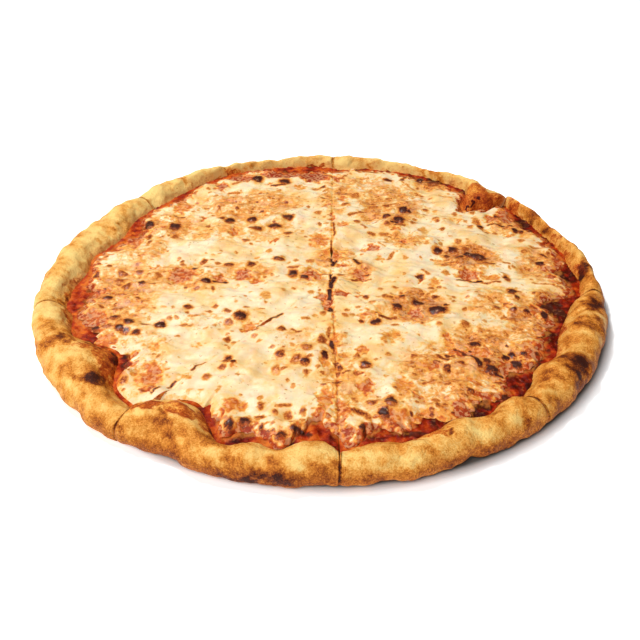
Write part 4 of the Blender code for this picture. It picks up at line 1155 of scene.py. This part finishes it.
class Nodes:
    """Short ways to add the nodes of one material."""

    def __init__(self, name):
        self.material = bpy.data.materials.new(name)
        self.material.use_nodes = True
        self.tree = self.material.node_tree
        self.shader = self.tree.nodes["Principled BSDF"]
        self.where = self.node("ShaderNodeTexCoord").outputs["Object"]

    def node(self, kind, inputs=(), **settings):
        """A node with those settings, and with inputs as pairs of a name or number and a value."""
        node = self.tree.nodes.new(kind)
        for key, value in settings.items():
            setattr(node, key, value)
        for key, value in inputs:
            self.set(node.inputs[key], value)
        return node

    def set(self, socket, value):
        if isinstance(value, bpy.types.NodeSocket):
            self.tree.links.new(value, socket)
        elif isinstance(value, tuple) and socket.type == "RGBA":
            socket.default_value = (*value, 1.0)
        else:
            socket.default_value = value

    def field(self, name):
        return self.node("ShaderNodeAttribute", attribute_name=name).outputs["Fac"]

    def noise(self, size, detail=2.0, roughness=0.5, warp=0.0):
        """Noise whose patches are about that size, in metres."""
        inputs = (
            ("Vector", self.where),
            ("Scale", 1.0 / size),
            ("Detail", detail),
            ("Roughness", roughness),
            ("Distortion", warp),
        )
        return self.node("ShaderNodeTexNoise", inputs).outputs["Fac"]

    def math(self, operation, a, b=0.0, c=0.0):
        return self.node("ShaderNodeMath", enumerate((a, b, c)), operation=operation).outputs[0]

    def plus(self, a, b):
        return self.math("ADD", a, b)

    def times(self, a, b):
        return self.math("MULTIPLY", a, b)

    def stir(self, value, *noises):
        """The value with each noise, which is about 0.5 on average, added that strongly."""
        for noise, amount in noises:
            value = self.plus(value, self.times(self.math("SUBTRACT", noise, 0.5), amount))
        return value

    def fade(self, value, start, end):
        """0 at start and 1 at end, eased."""
        rising = start < end
        inputs = (
            ("Value", value),
            ("From Min", min(start, end)),
            ("From Max", max(start, end)),
            ("To Min", 0.0 if rising else 1.0),
            ("To Max", 1.0 if rising else 0.0),
        )
        kind = "ShaderNodeMapRange"
        return self.node(kind, inputs, interpolation_type="SMOOTHSTEP").outputs["Result"]

    def blend(self, share, a, b, kind="MIX"):
        inputs = (("Factor", share), (6, a), (7, b))
        return self.node("ShaderNodeMix", inputs, data_type="RGBA", blend_type=kind).outputs[2]

    def flecks(self, size, share, amount):
        """Ragged flecks of about that size; share is how much of the surface has them, up to 1."""
        none, full = FLECK_NOISE
        least = self.math("MULTIPLY_ADD", share, full - none, none)
        above = self.math("SUBTRACT", self.noise(size, 1.5, 0.5), least)
        return self.times(self.fade(above, 0.0, FLECK_EDGE), amount)

    def ramp(self, value, stops):
        node = self.node("ShaderNodeValToRGB", (("Fac", value),))
        elements = node.color_ramp.elements
        for element, (position, *colour) in zip((elements[0], elements[-1]), (stops[0], stops[-1])):
            element.position, element.color = position, (*colour, 1.0)
        for position, *colour in stops[1:-1]:
            elements.new(position).color = (*colour, 1.0)
        return node.outputs["Color"]

    def finish(self, colour, roughness, specular, bumps=None, depth=0.0, strength=0.0):
        """The material, with bumps of that depth in metres."""
        if bumps is not None:
            inputs = (("Height", bumps), ("Distance", depth), ("Strength", strength))
            normal = self.node("ShaderNodeBump", inputs).outputs["Normal"]
            self.set(self.shader.inputs["Normal"], normal)
        self.set(self.shader.inputs["Base Color"], colour)
        self.set(self.shader.inputs["Roughness"], roughness)
        self.set(self.shader.inputs["Specular IOR Level"], specular)
        return self.material


def crust_material():
    n = Nodes("baked_dough")
    dust = n.noise(0.0008, 2.0, 0.6)
    grain = n.noise(0.0016, 3.0, 0.6)
    patches = n.noise(0.010, 4.0, 0.6, 0.3)
    tone, stain = n.field("tone"), n.field("stain")
    colour = n.ramp(n.stir(tone, (patches, 0.62), (grain, 0.50), (dust, 0.45)), DOUGH)
    mottle = n.stir(0.36, (patches, 1.5), (grain, 0.8), (dust, 0.35))
    mottle = n.plus(mottle, n.times(n.fade(tone, 0.5, 1.1), 0.7))
    mottle = n.math("SUBTRACT", mottle, n.times(n.fade(stain, 0.85, 0.40), 0.26))
    stained = n.fade(n.stir(stain, (patches, 0.8), (grain, 0.45)), 0.20, 0.90)
    colour = n.blend(stained, colour, n.ramp(mottle, SOAKED_DOUGH))
    rough = n.plus(n.plus(n.plus(grain, n.times(dust, 0.6)), patches), patches)
    return n.finish(colour, roughness=0.55, specular=0.12, bumps=rough, depth=0.0008, strength=0.7)


def crumb_material():
    n = Nodes("dough_crumb")
    pores = n.noise(0.0016, 4.0, 0.65)
    patches = n.noise(0.0060, 3.0, 0.6)
    colour = n.ramp(n.stir(pores, (patches, 0.7)), CRUMB)
    stained = n.fade(n.stir(n.field("stain"), (patches, 1.2)), 0.25, 0.80)
    colour = n.blend(stained, colour, n.ramp(pores, SOAKED_CRUMB))
    return n.finish(colour, roughness=0.75, specular=0.10, bumps=pores, depth=0.0008, strength=0.6)


def sauce_material():
    n = Nodes("tomato_sauce")
    pulp = n.noise(0.0024, 4.0, 0.65)
    blotches = n.noise(0.0065, 3.0, 0.6, 0.8)
    colour = n.ramp(n.stir(n.field("tone"), (pulp, 0.9), (blotches, 0.8)), TOMATO)
    curd = n.fade(n.stir(n.field("oily"), (blotches, 3.2)), 0.45, 1.25)
    colour = n.blend(n.times(curd, 0.42), colour, CURD)
    colour = n.blend(n.fade(n.field("burn"), 0.3, 0.8), colour, BURNT_SAUCE)
    # Painted glints: paler specks standing in for highlights on the wet sauce.
    colour = n.blend(n.flecks(0.0022, 0.30, 0.15), colour, SAUCE_PAINTED_GLINT)
    rough = n.plus(pulp, blotches)
    return n.finish(colour, roughness=0.46, specular=0.10, bumps=rough, depth=0.0010, strength=0.8)


def cheese_material():
    n = Nodes("melted_cheese")
    broad = n.noise(0.016, 3.0, 0.5, 0.2)
    middle = n.noise(0.0065, 3.0, 0.6, 0.3)
    fine = n.noise(0.0028, 3.0, 0.6, 0.3)
    grit = n.noise(0.0011, 2.0, 0.6)
    toast, thin, burn = n.field("toast"), n.field("thin"), n.field("burn")

    # Browned by the oven's heat, in patches where it is toasted.
    heat = n.plus(toast, n.times(n.stir(0.0, (middle, 1.45)), n.fade(toast, -0.05, 0.75)))
    heat = n.plus(heat, n.times(n.stir(0.0, (fine, 1.6)), n.fade(toast, 0.05, 0.80)))
    heat = n.plus(heat, n.stir(-0.05, (broad, 0.8)))
    cream = n.ramp(n.stir(broad, (fine, 0.30)), CREAM)
    colour = n.blend(n.fade(heat, 0.20, 0.62), cream, n.ramp(heat, BROWNED_CHEESE))
    blush = n.fade(n.noise(0.0085, 2.0, 0.5, 0.2), 0.54, 0.66)
    colour = n.blend(n.times(blush, 0.40), colour, BLUSH)

    # Sauce and oil, where the cheese is thin.
    some = n.fade(thin, 0.03, 0.35)
    through = n.plus(thin, n.times(n.stir(0.0, (fine, 0.9)), some))
    through = n.plus(through, n.times(n.stir(0.0, (middle, 0.8)), some))
    colour = n.blend(n.fade(through, 0.08, 0.40), colour, n.ramp(through, SAUCE_THROUGH))
    colour = n.blend(n.flecks(0.0024, n.times(toast, 0.55), 0.60), colour, BROWN_FLECK)

    # Burnt blisters, with painted highlights on their tops, and pale flecks between them, partly grated
    # bits and partly painted glints.
    uneven = n.stir(1.0, (grit, 1.8), (fine, 1.4))
    burnt = n.times(burn, n.math("MINIMUM", uneven, 1.25))
    burnt = n.plus(burnt, n.times(n.fade(burn, 0.60, 0.95), 0.42))
    colour = n.blend(n.fade(burnt, 0.02, 0.22), colour, n.ramp(burnt, CHAR), "DARKEN")
    # Painted highlight on the blisters' tops.
    highlight_spot = n.fade(n.stir(n.field("painted_highlight"), (grit, 4.0)), 0.80, 1.3)
    colour = n.blend(n.times(highlight_spot, 0.65), colour, BLISTER_PAINTED_HIGHLIGHT)
    # Pale flecks on browned cheese, partly grated bits and partly painted glints.
    browned = n.math("MAXIMUM", n.fade(heat, 0.45, 1.0), n.fade(thin, 0.2, 0.7))
    browned = n.times(browned, n.fade(burn, 0.6, 0.2))
    colour = n.blend(n.flecks(0.0023, n.times(browned, 0.75), 0.36), colour, PALE_FLECK_AND_GLINT)

    n.set(n.shader.inputs["Subsurface Weight"], n.times(n.fade(burn, 0.6, 0.1), 0.25))
    n.set(n.shader.inputs["Subsurface Radius"], (1.0, 0.45, 0.20))
    n.set(n.shader.inputs["Subsurface Scale"], 0.0018)
    gloss = n.math("MULTIPLY_ADD", burn, -0.10, 0.36)
    gloss = n.math("MULTIPLY_ADD", n.fade(thin, 0.2, 0.6), 0.20, gloss)
    rough = n.plus(n.times(fine, 1.2), grit)
    return n.finish(colour, roughness=gloss, specular=0.18, bumps=rough, depth=0.0003, strength=0.5)


# ---- Studio ----


def add_object(name, data):
    made = bpy.data.objects.new(name, data)
    bpy.context.scene.collection.objects.link(made)
    return made


def build_floor():
    """A white floor with a painted shadow under the crust's edge and, further out, a painted glow that
    washes out the lamps' shadows.
    """
    data = bpy.data.meshes.new("studio_floor")
    sides = ((-1, -1), (1, -1), (1, 1), (-1, 1))
    corners = [(x * FLOOR_REACH, y * FLOOR_REACH, FLOOR_LEVEL) for x, y in sides]
    data.from_pydata(corners, [], [(0, 1, 2, 3)])
    floor = add_object("studio_floor", data)
    n = Nodes("studio_white_painted_shadow")
    inputs = ((0, n.where), (1, FLOOR_PAINTED_SHADOW_AND_GLOW_CENTRE))
    out = n.node("ShaderNodeVectorMath", inputs, operation="DISTANCE").outputs["Value"]
    # Painted glow: the floor lights itself further out than the crust's edge.
    painted_glow = n.times(n.fade(out, *FLOOR_PAINTED_GLOW_FROM), FLOOR_PAINTED_GLOW)
    n.set(n.shader.inputs["Emission Color"], (1.0, 1.0, 1.0))
    n.set(n.shader.inputs["Emission Strength"], painted_glow)
    # Painted shadow: the floor's colour darkens under the crust's edge.
    colour = n.blend(n.fade(out, *FLOOR_PAINTED_SHADOW_FROM), FLOOR_PAINTED_SHADOW, FLOOR_WHITE)
    data.materials.append(n.finish(colour, roughness=0.9, specular=0.1))


def build_sky():
    """A pale sky, brighter toward the top."""
    world = bpy.data.worlds.new("studio")
    world.use_nodes = True
    nodes, links = world.node_tree.nodes, world.node_tree.links
    split, strength = nodes.new("ShaderNodeSeparateXYZ"), nodes.new("ShaderNodeMapRange")
    links.new(nodes.new("ShaderNodeTexCoord").outputs["Generated"], split.inputs["Vector"])
    links.new(split.outputs["Z"], strength.inputs["Value"])
    strength.inputs["From Min"].default_value = SKY_TOP_FROM
    strength.inputs["To Min"].default_value = SKY_LOW
    strength.inputs["To Max"].default_value = SKY_TOP
    links.new(strength.outputs["Result"], nodes["Background"].inputs["Strength"])
    bpy.context.scene.world = world


def add_lamp(name, spot, size, power):
    data = bpy.data.lights.new(name, "AREA")
    data.shape = "DISK"
    data.size = size
    data.energy = power
    lamp = add_object(name, data)
    lamp.location = spot
    lamp.rotation_euler = (-Vector(spot)).to_track_quat("-Z", "Y").to_euler()


def add_camera():
    data = bpy.data.cameras.new("camera")
    data.sensor_width = SENSOR_MM
    data.lens = FOCAL_PIXELS * SENSOR_MM / PHOTO_SIZE
    camera = add_object("camera", data)
    camera.location = camera_ways()[0]
    camera.rotation_euler = (math.radians(90.0 - CAMERA_RISE), 0.0, 0.0)
    bpy.context.scene.camera = camera


# ---- Assembly ----


def main():
    bpy.context.scene.view_settings.view_transform = "Standard"
    build_floor()
    build_sky()
    add_lamp("key", **KEY_LAMP)
    add_lamp("fill", **FILL_LAMP)
    add_camera()
    build_crusts([crust_material(), crumb_material()])
    sauce, cheese = sauce_material(), cheese_material()
    for k in range(SLICES):
        build_sauce(k, sauce)
        build_cheese(k, cheese)


main()
